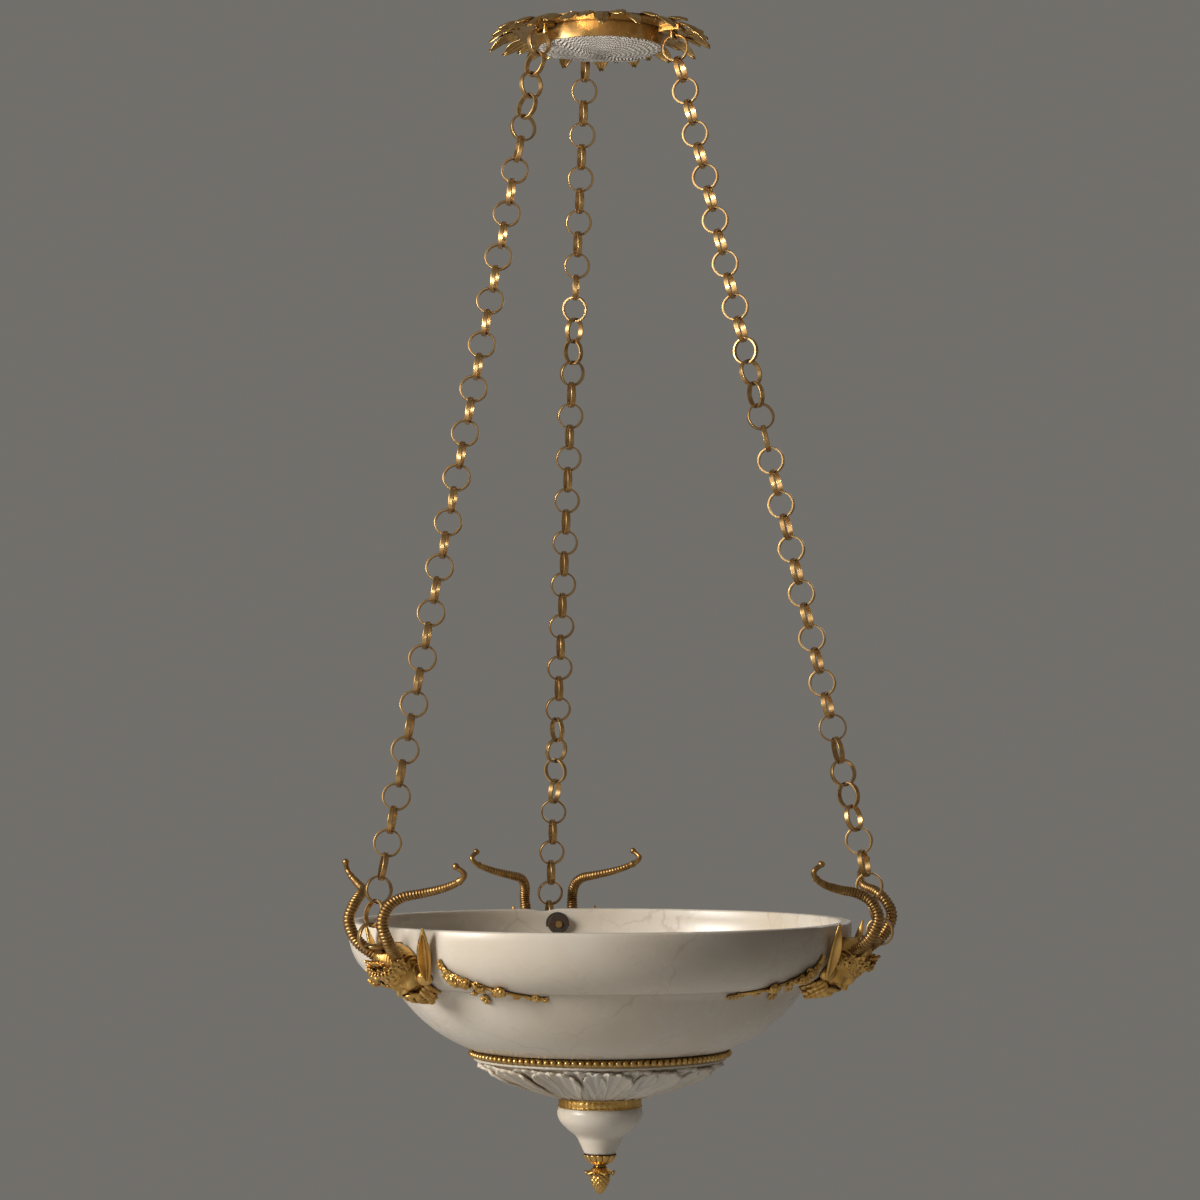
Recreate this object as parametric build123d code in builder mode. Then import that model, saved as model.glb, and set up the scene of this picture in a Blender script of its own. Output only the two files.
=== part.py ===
from build123d import *
import os
from math import asin, cos, radians, sin, sqrt

# Hanging alabaster bowl light: leaf crown, three ring chains, bowl with satyr masks and garlands.
# Millimetres, +Z up. The origin is the middle of the ceiling eye, and the chains decide
# how far below it the rim of the bowl hangs.

# Clearances
SEAT_GAP = 0.3
BOLT_GAP = 0.3
TURN_GAP = 0.2
LINK_PLAY = 0.25

# Ceiling eye
EYE_BORE_RADIUS = 5.5
EYE_WALL = 3.0
EYE_THICKNESS = 7.0
EYE_SHANK_RADIUS = 4.0
EYE_NUT_WIDTH = 13.0
EYE_NUT_HEIGHT = 5.5
EYE_WASHER_RADIUS = 9.0
EYE_WASHER_THICKNESS = 1.5
THREAD_END = 1.5

# Crown spider and hoop
HUB_RADIUS = 11.0
ARM_WIDTH = 12.0
ARM_THICKNESS = 4.0
PAD_WIDTH = 22.0
PAD_LENGTH = 17.0
HOOP_RADIUS = 64.0
HOOP_WALL = 1.6
HOOP_HEIGHT = 16.0
FLANGE_RADIUS = 88.0
FLANGE_THICKNESS = 1.5

# Staples that carry the chains
STAPLE_REACH = 77.8
STAPLE_WIRE_RADIUS = 2.0
STAPLE_HALF_WIDTH = 6.5
STAPLE_BEND_RADIUS = 2.6
STAPLE_ROOM = 5.3
STAPLE_HEAD_RADIUS = 3.4
STAPLE_HEAD_HEIGHT = 1.5

# Leaves and rivets of the crown
LEAVES = 18
LEAF_SHEET = 0.8
LEAF_WIDTH = 18.0
LEAF_RING_WIDTH = 5.5
LEAF_ROW_STEP = 1.4
LOWER_LEAF_LENGTH = 24.0
LOWER_LEAF_RISE = 1.5
LOWER_LEAF_DROOP = 14.0
UPPER_LEAF_LENGTH = 21.0
UPPER_LEAF_RISE = 3.0
UPPER_LEAF_DROOP = 3.5
RIVETS = 6
RIVET_RADIUS = 1.4
RIVET_HEAD_RADIUS = 2.0
RIVET_HEAD_HEIGHT = 1.0

# Lining of the crown
LINING_WIRE_RADIUS = 1.4
LINING_THICKNESS = 1.6
LINING_SAG = 9.0
LINING_FOLD_RADIUS = 1.8
LINING_LIFT = 3.0

# Folds of the lining: three places each, as shares of the reach of a fold
MAIN_FOLD = ((-1.0, 0.0), (0.0, 0.11), (0.8, 0.5))
SHORT_FOLD = ((-0.3, -0.8), (0.1, -0.5), (0.6, -0.4))

# Chains of flat-band rings
RINGS = 41
RING_BORE = 23.7
RING_BAND = 1.8
RING_WIDTH = 5.0
RING_EDGE = 0.7
TWIST_STEP = 15.0
CHAIN_TWISTS = {
    "left": ((4, 3), (37, -3)),
    "right": ((14, 6), (31, -6)),
    "back": ((10, 6), (31, -6)),
}
AZIMUTHS = {"left": 210.0, "right": 330.0, "back": 90.0}

# Bowl
RIM_RADIUS = 250.0
RIM_LAND = 10.0
RIM_EDGE = 2.0
BOWL_WALL = 12.0
CREASE_RADIUS = 206.0
CREASE_DEPTH = 60.0
CREASE_FILLET = 4.0
BODY_RADIUS = 128.0
BODY_DEPTH = 127.0
BODY_BULGE = 8.5
FLOOR_DEPTH = 116.0
FLOOR_RADIUS = 26.0
FLOOR_BULGE = 27.0
SPOT_DEPTH = 0.5

# Bead ring between the bowl and its base
BEADS = 114
BEAD_RADIUS = 3.1
BEAD_STRIP = 2.0
BEAD_STRIP_HEIGHT = 8.0
BEAD_LEDGE = 1.5

# Carved base, neck band and drop
BASE_LEDGE = 1.0
BASE_HEIGHT = 39.7
BASE_EDGE_HEIGHT = 2.2
BASE_BULGE = 6.0
NECK_RADIUS = 41.5
NECK_WALL = 4.2
NECK_HEIGHT = 10.0
DROP_SHOULDER = 41.0
DROP_BELLY = 42.6
DROP_BELLY_SHARE = 0.14
DROP_TURN = 33.5
DROP_TURN_SHARE = 0.46
DROP_WAIST = 23.3
DROP_WAIST_SHARE = 0.65
DROP_END = 15.5
DROP_HEIGHT = 46.0

# Calyx, pine cone and tie rod
CALYX_HEIGHT = 11.0
CALYX_FOOT_RADIUS = 8.0
CALYX_RIM_INSET = 1.5
CALYX_CUP_RADIUS = 12.4
CALYX_CUP_SHARE = 0.6
CALYX_LEAVES = 10
CALYX_LEAF_RADIUS = 3.4
CALYX_LEAF_ROOT = 1.5
CONE_NECK_RADIUS = 6.2
CONE_NECK_HEIGHT = 2.5
CONE_COLLAR_RADIUS = 12.5
CONE_COLLAR_HEIGHT = 8.0
CONE_COLLAR_LIP = 1.2
CONE_RADIUS = 10.0
CONE_HEIGHT = 19.0
CONE_SCALE_ROWS = 5
CONE_SCALE_STEP = 0.7
ROD_RADIUS = 4.0
ROD_IN_CONE = 12.0
ROD_NUT_WIDTH = 13.0
ROD_NUT_HEIGHT = 6.5
ROD_WASHER_RADIUS = 16.0
ROD_WASHER_THICKNESS = 2.5

# Eye bolts through the masks and the wall of the bowl
BOLT_DEPTH = 16.0
BOLT_RADIUS = 3.6
BOLT_COLLAR_RADIUS = 6.0
BOLT_COLLAR_THICKNESS = 2.0
EYE_STAND = 39.0
EYE_WIRE_RADIUS = 2.0
EYE_LOOP_RADIUS = 8.5
MASK_NUT_RADIUS = 10.5
MASK_NUT_HEIGHT = 6.0
MASK_WASHER_RADIUS = 12.5
MASK_WASHER_THICKNESS = 1.6

# Masks: place and lean of the head, its sections (up, forward, half width, half depth) and features
HEAD_STAND = -7.0
HEAD_DEPTH = 35.0
HEAD_LEAN = 62.0
HEAD_SECTIONS = (
    (-48, 11, 5, 4),
    (-38, 13, 12, 9),
    (-24, 13, 18, 14),
    (-8, 9, 22, 18),
    (6, 6, 24, 21),
    (20, 3, 25, 21),
    (30, 0, 19, 16),
    (36, -1, 8, 7),
)
NOSE_FORWARD = 23.0
NOSE_UP = -3.0
NOSE_SLOPE = 0.3
NOSE_HALF_LENGTH = 12.0
NOSE_RADIUS = 4.5
EAR_RADIUS = 6.5
EAR_FOOT = (10, 33, -11)
EAR_TIP_SIDE = 44.0
EAR_RISE = 3.0
EAR_ROOT = (8, 23, -6)
EAR_ROOT_RADIUS = 12.0
BROW_END = (0, 25, 22)
BROW_FRONT = (22, 0, 25)
BROW_RADIUS = 6.0
SOCKET_LENGTH = 63.0

# Horns
HORN_BASE_RADIUS = 6.2
HORN_TIP_RADIUS = 2.5
HORN_KNOB_RADIUS = 3.4
HORN_RIBS = 18
HORN_RIB_HEIGHT = 0.5
HORN_SOCKET_GAP = 1.8
HORN_STEADY = Vector(0.3, -0.5, 0.8)
HORN_ROUTE = (
    (14, 14, -28),
    (33, 24, -12),
    (42, 26, 7),
    (36, 27, 22),
    (24, 33, 31),
    (10, 46, 35),
    (1, 66, 40),
    (-4, 84, 47),
)

# A direction that no leaf or nose points in, which sets the plane it is drawn in
SPINDLE_ACROSS = Vector(0.31, 0.77, 0.55)

# Garlands on the bowl
GARLAND_START = 13.0
GARLAND_END = 34.0
GARLAND_TOP = 32.0
GARLAND_FALL = 31.0
GARLAND_EASE = 0.7
GARLAND_SECTIONS = 6
GARLAND_RADIUS = 7.0
GARLAND_THINNING = 2.5
GARLAND_STAND = 2.0
CLUSTER_SHARE = 0.35
CLUSTER_DROP = 9.0
CLUSTER_HALF_LENGTH = 13.0
CLUSTER_RADIUS = 6.5
STUD_SHARES = (0.2, 0.75)
GARLAND_STUD_RADIUS = 1.5
GARLAND_STUD_LENGTH = 7.0

# Levels of the crown, worked out downwards from the eye
hub_top = -(EYE_BORE_RADIUS + EYE_WALL + TURN_GAP)
hub_bottom = hub_top - ARM_THICKNESS
flange_bottom = hub_top
flange_top = flange_bottom + FLANGE_THICKNESS
hoop_bottom = flange_bottom - HOOP_HEIGHT
hoop_inner = HOOP_RADIUS - HOOP_WALL
staple_level = hub_bottom - STAPLE_ROOM - STAPLE_WIRE_RADIUS
leaf_ring_inner = FLANGE_RADIUS - LEAF_RING_WIDTH
upper_leaf_root = FLANGE_RADIUS - LEAF_ROW_STEP
rivet_circle = (leaf_ring_inner + upper_leaf_root) / 2
lower_leaf_bottom = flange_top
upper_leaf_bottom = lower_leaf_bottom + LEAF_SHEET

# Chain: pitch, lean and drop, and from them the level of the rim
ring_radius = RING_BORE / 2
twist_sine = sin(radians(TWIST_STEP))
twist_corner = RING_WIDTH / 2 * (1 + twist_sine) / sqrt(1 - twist_sine**2)
ring_pitch = 2 * sqrt(ring_radius**2 - twist_corner**2) - LINK_PLAY
staple_to_ring = ring_radius - STAPLE_WIRE_RADIUS - LINK_PLAY
eye_to_ring = ring_radius - EYE_WIRE_RADIUS - LINK_PLAY
chain_length = staple_to_ring + (RINGS - 1) * ring_pitch + eye_to_ring
eye_reach = RIM_RADIUS + EYE_STAND
chain_lean = asin((eye_reach - STAPLE_REACH) / chain_length)
bolt_level = staple_level - chain_length * cos(chain_lean)
rim_level = bolt_level + BOLT_DEPTH

# Levels below the rim
body_bottom = rim_level - BODY_DEPTH
strip_radius = BODY_RADIUS - BEAD_LEDGE
seat_radius = strip_radius - BEAD_STRIP - SEAT_GAP
base_radius = strip_radius - BASE_LEDGE
base_top = body_bottom - BEAD_STRIP_HEIGHT - SEAT_GAP
base_bottom = base_top - BASE_HEIGHT
neck_bottom = base_bottom - NECK_HEIGHT
drop_bottom = neck_bottom - DROP_HEIGHT
calyx_bottom = drop_bottom - CALYX_HEIGHT
collar_bottom = calyx_bottom - CONE_NECK_HEIGHT - CONE_COLLAR_HEIGHT
cone_bottom = collar_bottom - CONE_HEIGHT
floor_level = rim_level - FLOOR_DEPTH
rod_top = floor_level + ROD_WASHER_THICKNESS + ROD_NUT_HEIGHT + THREAD_END
rod_bottom = collar_bottom + CONE_COLLAR_HEIGHT - ROD_IN_CONE
nut_face = RIM_RADIUS - BOWL_WALL + SPOT_DEPTH

os.makedirs("parts", exist_ok=True)


def write(piece, name):
    """Label a finished piece and write its file."""
    piece.label = name
    export_step(piece, f"parts/{name}.step")


def write_around(pattern, name, azimuth):
    """Turn a piece made on the +X side to its place round the axis, and write it."""
    with BuildPart() as turned:
        with Locations(Rotation(0, 0, azimuth)):
            add(pattern)
    write(turned.part, name)


def spindle(middle, along, half_length, radius):
    """A round leaf, pointed at both ends, along a line through its middle."""
    across = Vector(along).cross(SPINDLE_ACROSS)
    with BuildPart() as body:
        with BuildSketch(Plane(origin=middle, x_dir=along, z_dir=across)):
            with BuildLine():
                Spline((-half_length, 0), (0, radius), (half_length, 0))
                Line((-half_length, 0), (half_length, 0))
            make_face()
        revolve(axis=Axis(middle, along))
    return body.part


def hex_nut(top, width, height, bore):
    """A nut on the axis, from its top face down."""
    with BuildPart() as nut:
        with BuildSketch(Plane.XY.offset(top)):
            RegularPolygon(width / 2, 6, major_radius=False)
            Circle(bore, mode=Mode.SUBTRACT)
        extrude(amount=-height)
    return nut.part


def washer(top, radius, thickness, bore):
    """A flat washer on the axis, from its top face down."""
    with BuildPart() as disc:
        with BuildSketch(Plane.XY.offset(top)):
            Circle(radius)
            Circle(bore, mode=Mode.SUBTRACT)
        extrude(amount=-thickness)
    return disc.part


# Ceiling eye: a flat eye on a threaded shank, which turns in the hub of the spider
washer_top = hub_bottom - TURN_GAP
nut_top = washer_top - EYE_WASHER_THICKNESS
shank_end = nut_top - EYE_NUT_HEIGHT - THREAD_END
with BuildPart() as ceiling_eye:
    with BuildSketch(Plane.XZ):
        Circle(EYE_BORE_RADIUS + EYE_WALL)
    extrude(amount=EYE_THICKNESS / 2, both=True)
    with BuildSketch(Plane.XY.offset(shank_end)):
        Circle(EYE_SHANK_RADIUS)
    extrude(amount=-shank_end)
    with BuildSketch(Plane.XZ):
        Circle(EYE_BORE_RADIUS)
    extrude(amount=EYE_THICKNESS, both=True, mode=Mode.SUBTRACT)
write(ceiling_eye.part, "ceiling_eye")
write(hex_nut(nut_top, EYE_NUT_WIDTH, EYE_NUT_HEIGHT, EYE_SHANK_RADIUS), "ceiling_eye_nut")
write(
    washer(washer_top, EYE_WASHER_RADIUS, EYE_WASHER_THICKNESS, EYE_SHANK_RADIUS),
    "ceiling_eye_washer",
)

# Spider: a hub with three arms that end in pads under the flange
pad_outer = STAPLE_REACH + PAD_LENGTH / 2
with BuildPart() as spider:
    with BuildSketch(Plane.XY.offset(hub_bottom)):
        Circle(HUB_RADIUS)
        for azimuth in AZIMUTHS.values():
            with Locations(Rotation(0, 0, azimuth)):
                with Locations((pad_outer / 2, 0)):
                    Rectangle(pad_outer, ARM_WIDTH)
                with Locations((STAPLE_REACH, 0)):
                    Rectangle(PAD_LENGTH, PAD_WIDTH)
                with Locations((STAPLE_REACH, STAPLE_HALF_WIDTH), (STAPLE_REACH, -STAPLE_HALF_WIDTH)):
                    Circle(STAPLE_WIRE_RADIUS + BOLT_GAP, mode=Mode.SUBTRACT)
        Circle(EYE_SHANK_RADIUS + TURN_GAP, mode=Mode.SUBTRACT)
    extrude(amount=ARM_THICKNESS)
write(spider.part, "crown_spider")

# Hoop: a band with a flange, slotted for the arms and drilled for the staples and rivets
with BuildPart() as hoop:
    with BuildSketch(Plane.XY.offset(hoop_bottom)):
        Circle(HOOP_RADIUS)
        Circle(hoop_inner, mode=Mode.SUBTRACT)
    extrude(amount=HOOP_HEIGHT)
    with BuildSketch(Plane.XY.offset(flange_bottom)):
        Circle(FLANGE_RADIUS)
        Circle(hoop_inner, mode=Mode.SUBTRACT)
        for azimuth in AZIMUTHS.values():
            with Locations(Rotation(0, 0, azimuth)):
                with Locations((STAPLE_REACH, STAPLE_HALF_WIDTH), (STAPLE_REACH, -STAPLE_HALF_WIDTH)):
                    Circle(STAPLE_WIRE_RADIUS + BOLT_GAP, mode=Mode.SUBTRACT)
        with PolarLocations(rivet_circle, RIVETS):
            Circle(RIVET_RADIUS + BOLT_GAP, mode=Mode.SUBTRACT)
    extrude(amount=FLANGE_THICKNESS)
    with BuildSketch(Plane.XY.offset(hub_bottom - SEAT_GAP)):
        for azimuth in AZIMUTHS.values():
            with Locations(Rotation(0, 0, azimuth)):
                with Locations((HOOP_RADIUS, 0)):
                    Rectangle(4 * HOOP_WALL, ARM_WIDTH + 2 * BOLT_GAP)
    extrude(amount=ARM_THICKNESS + SEAT_GAP, mode=Mode.SUBTRACT)
write(hoop.part, "crown_hoop")

# Staple: a square-bottomed wire loop through pad and flange, with peened heads
with BuildPart() as staple:
    with BuildLine() as staple_line:
        FilletPolyline(
            (STAPLE_REACH, -STAPLE_HALF_WIDTH, flange_top),
            (STAPLE_REACH, -STAPLE_HALF_WIDTH, staple_level),
            (STAPLE_REACH, STAPLE_HALF_WIDTH, staple_level),
            (STAPLE_REACH, STAPLE_HALF_WIDTH, flange_top),
            radius=STAPLE_BEND_RADIUS,
        )
    with BuildSketch(Plane(origin=(STAPLE_REACH, -STAPLE_HALF_WIDTH, flange_top), z_dir=(0, 0, -1))):
        Circle(STAPLE_WIRE_RADIUS)
    sweep()
    with BuildSketch(Plane.XY.offset(flange_top)):
        with Locations((STAPLE_REACH, STAPLE_HALF_WIDTH), (STAPLE_REACH, -STAPLE_HALF_WIDTH)):
            Circle(STAPLE_HEAD_RADIUS)
    extrude(amount=STAPLE_HEAD_HEIGHT)
for side, azimuth in AZIMUTHS.items():
    write_around(staple.part, f"crown_staple_{side}", azimuth)


def crown_leaf(edge, bottom, length, rise, droop):
    """One bent leaf on the +X side, from the edge of its ring outwards."""
    root = edge - LEAF_SHEET
    middle = edge + length / 2
    reach = edge + length
    with BuildPart() as leaf:
        with BuildSketch(Plane.XZ):
            with BuildLine():
                ThreePointArc((root, bottom), (middle, bottom + rise), (reach, bottom - droop))
                Line((reach, bottom - droop), (reach, bottom - droop + LEAF_SHEET))
                ThreePointArc(
                    (reach, bottom - droop + LEAF_SHEET),
                    (middle, bottom + rise + LEAF_SHEET),
                    (root, bottom + LEAF_SHEET),
                )
                Line((root, bottom + LEAF_SHEET), (root, bottom))
            make_face()
        extrude(amount=LEAF_WIDTH, both=True)
        with BuildSketch(Plane.XY.offset(bottom - 2 * droop)):
            with BuildLine():
                ThreePointArc((root, -LEAF_WIDTH / 3), (middle, -LEAF_WIDTH / 2), (reach, 0))
                ThreePointArc((reach, 0), (middle, LEAF_WIDTH / 2), (root, LEAF_WIDTH / 3))
                Line((root, LEAF_WIDTH / 3), (root, -LEAF_WIDTH / 3))
            make_face()
        extrude(amount=4 * (rise + droop + LEAF_SHEET), mode=Mode.INTERSECT)
    return leaf.part


def leaf_ring(edge, bottom, leaf, start):
    """A pierced sheet ring with its leaves, held by the rivets."""
    with BuildPart() as ring:
        with BuildSketch(Plane.XY.offset(bottom)):
            Circle(edge)
            Circle(leaf_ring_inner, mode=Mode.SUBTRACT)
            with PolarLocations(rivet_circle, RIVETS):
                Circle(RIVET_RADIUS + BOLT_GAP, mode=Mode.SUBTRACT)
        extrude(amount=LEAF_SHEET)
        with PolarLocations(0, LEAVES, start_angle=start):
            add(leaf)
    return ring.part


lower_leaf = crown_leaf(
    FLANGE_RADIUS, lower_leaf_bottom, LOWER_LEAF_LENGTH, LOWER_LEAF_RISE, LOWER_LEAF_DROOP
)
upper_leaf = crown_leaf(
    upper_leaf_root, upper_leaf_bottom, UPPER_LEAF_LENGTH, UPPER_LEAF_RISE, UPPER_LEAF_DROOP
)
write(leaf_ring(FLANGE_RADIUS, lower_leaf_bottom, lower_leaf, 0), "crown_leaves_lower")
write(leaf_ring(upper_leaf_root, upper_leaf_bottom, upper_leaf, 180 / LEAVES), "crown_leaves_upper")

# Rivets through both leaf rings and the flange
rivet_top = upper_leaf_bottom + LEAF_SHEET
with BuildPart() as rivets:
    with BuildSketch(Plane.XY.offset(flange_bottom)):
        with PolarLocations(rivet_circle, RIVETS):
            Circle(RIVET_RADIUS)
    extrude(amount=rivet_top - flange_bottom)
    with BuildSketch(Plane.XY.offset(rivet_top)):
        with PolarLocations(rivet_circle, RIVETS):
            Circle(RIVET_HEAD_RADIUS)
    extrude(amount=RIVET_HEAD_HEIGHT)
    with BuildSketch(Plane.XY.offset(flange_bottom)):
        with PolarLocations(rivet_circle, RIVETS):
            Circle(RIVET_HEAD_RADIUS)
    extrude(amount=-RIVET_HEAD_HEIGHT)
write(rivets.part, "crown_rivets")

# Wire ring sprung into the hoop, and the lining hung from it: a shallow dome with its folds
wire_circle = hoop_inner - SEAT_GAP - LINING_WIRE_RADIUS
wire_level = hoop_bottom + LINING_LIFT
with BuildPart() as lining_ring:
    with BuildSketch(Plane.XZ):
        with Locations((wire_circle, wire_level)):
            Circle(LINING_WIRE_RADIUS)
    revolve(axis=Axis.Z)
write(lining_ring.part, "lining_ring")

lining_top = wire_level - LINING_WIRE_RADIUS - SEAT_GAP
lining_radius = hoop_inner - SEAT_GAP
dome_radius = (lining_radius**2 + LINING_SAG**2) / (2 * LINING_SAG)
dome_middle = lining_top - LINING_SAG + dome_radius


def dome_level(radius, out):
    """Level of a dome of this radius, at a distance out from the axis."""
    return dome_middle - sqrt(radius**2 - out**2)


def lining_fold(shares):
    """A ridge of cloth along the underside of the lining, through three places."""
    places = [(fold_reach * x, fold_reach * y) for x, y in shares]
    route = [(x, y, dome_level(dome_radius, sqrt(x**2 + y**2))) for x, y in places]
    with BuildPart() as fold:
        with BuildLine():
            line = ThreePointArc(*route)
        with BuildSketch(Plane(origin=line @ 0, z_dir=line % 0)):
            Circle(LINING_FOLD_RADIUS)
        sweep()
    return fold.part


inner_dome = dome_radius - LINING_THICKNESS
inner_edge = sqrt(inner_dome**2 - (dome_radius - LINING_SAG) ** 2)
fold_reach = lining_radius - 4 * LINING_FOLD_RADIUS
main_fold = lining_fold(MAIN_FOLD)
short_fold = lining_fold(SHORT_FOLD)
with BuildPart() as lining:
    with BuildSketch(Plane.XZ):
        with BuildLine():
            ThreePointArc(
                (0, dome_level(dome_radius, 0)),
                (lining_radius / 2, dome_level(dome_radius, lining_radius / 2)),
                (lining_radius, lining_top),
            )
            Line((lining_radius, lining_top), (inner_edge, lining_top))
            ThreePointArc(
                (inner_edge, lining_top),
                (inner_edge / 2, dome_level(inner_dome, inner_edge / 2)),
                (0, dome_level(inner_dome, 0)),
            )
            Line((0, dome_level(inner_dome, 0)), (0, dome_level(dome_radius, 0)))
        make_face()
    revolve(axis=Axis.Z)
    add(main_fold)
    add(short_fold)
write(lining.part, "crown_lining")

# One chain ring: a flat band with eased outer edges, lying in the XY plane
with BuildPart() as chain_ring:
    with BuildSketch(Plane.XZ) as band:
        with Locations((ring_radius + RING_BAND / 2, 0)):
            Rectangle(RING_BAND, RING_WIDTH)
        fillet(band.vertices().group_by(Axis.X)[-1], radius=RING_EDGE)
    revolve(axis=Axis.Z)


def ring_plane(side, index):
    """Plane of one ring of a chain, counted from 0 at the staple."""
    azimuth = radians(AZIMUTHS[side])
    outward = Vector(cos(azimuth), sin(azimuth), 0)
    sideways = Vector(-sin(azimuth), cos(azimuth), 0)
    along = outward * sin(chain_lean) - Vector(0, 0, 1) * cos(chain_lean)
    hung = outward * STAPLE_REACH + Vector(0, 0, staple_level)
    turn = 90 * index
    for first, steps in CHAIN_TWISTS[side]:
        done = min(max(index + 1 - first, 0), abs(steps))
        turn += TWIST_STEP * done * (1 if steps > 0 else -1)
    across = sideways * cos(radians(turn)) + along.cross(sideways) * sin(radians(turn))
    return Plane(origin=hung + along * (staple_to_ring + index * ring_pitch), x_dir=along, z_dir=across)


def chain_piece(side, indices):
    """The rings of a chain with these numbers, each a solid of its own."""
    with BuildPart() as piece:
        with Locations(*[ring_plane(side, index) for index in indices]):
            add(chain_ring.part)
    return piece.part


for side in AZIMUTHS:
    write(chain_piece(side, [0]), f"chain_{side}_top_ring")
    write(chain_piece(side, range(1, RINGS - 1)), f"chain_{side}")
    write(chain_piece(side, [RINGS - 1]), f"chain_{side}_bottom_ring")


def outer_wall(grow):
    """Outline of the bowl's outside, from the rim to the bead ledge, grown by a clearance."""
    land = rim_level - RIM_LAND
    crease = (CREASE_RADIUS + grow, rim_level - CREASE_DEPTH - grow)
    ledge = (BODY_RADIUS + grow, body_bottom - grow)
    chord = Vector(*ledge) - Vector(*crease)
    outward = Vector(-chord.Y, chord.X).normalized()
    middle = Vector(*crease) + chord * 0.5 + outward * BODY_BULGE
    Line((RIM_RADIUS + grow, rim_level), (RIM_RADIUS + grow, land))
    EllipticalCenterArc(
        (crease[0], land), RIM_RADIUS - CREASE_RADIUS, land - crease[1], start_angle=270, arc_size=90
    )
    ThreePointArc(crease, middle, ledge)


def inner_wall():
    """Outline of the bowl's inside, from the rim to the edge of its floor."""
    land = rim_level - RIM_LAND
    mouth = RIM_RADIUS - BOWL_WALL
    crease = (CREASE_RADIUS - BOWL_WALL, rim_level - CREASE_DEPTH + BOWL_WALL / 2)
    floor = (FLOOR_RADIUS, floor_level)
    chord = Vector(*floor) - Vector(*crease)
    outward = Vector(-chord.Y, chord.X).normalized()
    middle = Vector(*crease) + chord * 0.5 + outward * FLOOR_BULGE
    Line((mouth, rim_level), (mouth, land))
    EllipticalCenterArc(
        (crease[0], land), mouth - crease[0], land - crease[1], start_angle=270, arc_size=90
    )
    ThreePointArc(crease, middle, floor)


def wall_radius(depth):
    """Radius of the bowl's outside, a depth below the rim, as far as the garlands hang."""
    if depth < RIM_LAND:
        return RIM_RADIUS
    if depth > CREASE_DEPTH:
        return CREASE_RADIUS - (depth - CREASE_DEPTH) * (RIM_RADIUS - CREASE_RADIUS) / CREASE_DEPTH
    fall = (depth - RIM_LAND) / (CREASE_DEPTH - RIM_LAND)
    return CREASE_RADIUS + (RIM_RADIUS - CREASE_RADIUS) * sqrt(1 - fall**2)


def around(angle, radius, level):
    """A point round the axis, measured from the +X side."""
    return Vector(radius * cos(radians(angle)), radius * sin(radians(angle)), level)


def radial_plane(angle, radius, level):
    """A plane square to the radius at a point, looking outwards."""
    return Plane(origin=around(angle, radius, level), x_dir=(0, 0, 1), z_dir=around(angle, 1, 0))


# Body of the bowl with a clearance, which cuts the backs of the masks and garlands
with BuildPart() as wall_cutter:
    with BuildSketch(Plane.XZ) as cutter_section:
        with BuildLine():
            outer_wall(SEAT_GAP)
            Polyline(
                (BODY_RADIUS + SEAT_GAP, body_bottom - SEAT_GAP),
                (0, body_bottom - SEAT_GAP),
                (0, rim_level),
                (RIM_RADIUS + SEAT_GAP, rim_level),
            )
        make_face()
        crease_point = Vector(CREASE_RADIUS + SEAT_GAP, rim_level - CREASE_DEPTH - SEAT_GAP)
        crease_corner = cutter_section.vertices().sort_by_distance(crease_point)[0]
        fillet(crease_corner, radius=CREASE_FILLET)
    revolve(axis=Axis.Z)


def garland_place(share):
    """Angle from the mask and depth below the rim, a share of the way along a garland."""
    angle = GARLAND_START + (GARLAND_END - GARLAND_START) * share
    return angle, GARLAND_TOP + GARLAND_FALL * share**GARLAND_EASE


def garland_point(share):
    """The middle of a garland, a share of the way along it, on the +Y side of the mask at +X."""
    angle, depth = garland_place(share)
    return around(angle, wall_radius(depth) + GARLAND_STAND, rim_level - depth)


stud_places = [garland_place(share) for share in STUD_SHARES]

# Bowl: turned in one piece, drilled for the bolts, the tie rod and the studs of the garlands
with BuildPart() as bowl:
    with BuildSketch(Plane.XZ) as bowl_section:
        with BuildLine():
            outer_wall(0)
            Polyline(
                (BODY_RADIUS, body_bottom),
                (seat_radius, body_bottom),
                (seat_radius, base_top),
                (ROD_RADIUS + BOLT_GAP, base_top),
                (ROD_RADIUS + BOLT_GAP, floor_level),
                (FLOOR_RADIUS, floor_level),
            )
            inner_wall()
            Line((RIM_RADIUS - BOWL_WALL, rim_level), (RIM_RADIUS, rim_level))
        make_face()
        fillet(bowl_section.vertices().group_by(Axis.Y)[-1], radius=RIM_EDGE)
        crease_point = Vector(CREASE_RADIUS, rim_level - CREASE_DEPTH)
        crease_corner = bowl_section.vertices().sort_by_distance(crease_point)[0]
        fillet(crease_corner, radius=CREASE_FILLET)
    revolve(axis=Axis.Z)
    for azimuth in AZIMUTHS.values():
        with BuildSketch(radial_plane(azimuth, 0, bolt_level)):
            Circle(BOLT_RADIUS + BOLT_GAP)
        extrude(amount=2 * RIM_RADIUS, mode=Mode.SUBTRACT)
        with BuildSketch(radial_plane(azimuth, nut_face, bolt_level)):
            Circle(MASK_WASHER_RADIUS + BOLT_GAP)
        extrude(amount=-2 * BOWL_WALL, mode=Mode.SUBTRACT)
        for angle, depth in stud_places:
            for sign in (1, -1):
                place = azimuth + sign * angle
                level = rim_level - depth
                with BuildSketch(radial_plane(place, wall_radius(depth) - GARLAND_STUD_LENGTH, level)):
                    Circle(GARLAND_STUD_RADIUS + BOLT_GAP)
                extrude(amount=2 * BOWL_WALL, mode=Mode.SUBTRACT)
write(bowl.part, "alabaster_bowl")

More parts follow.
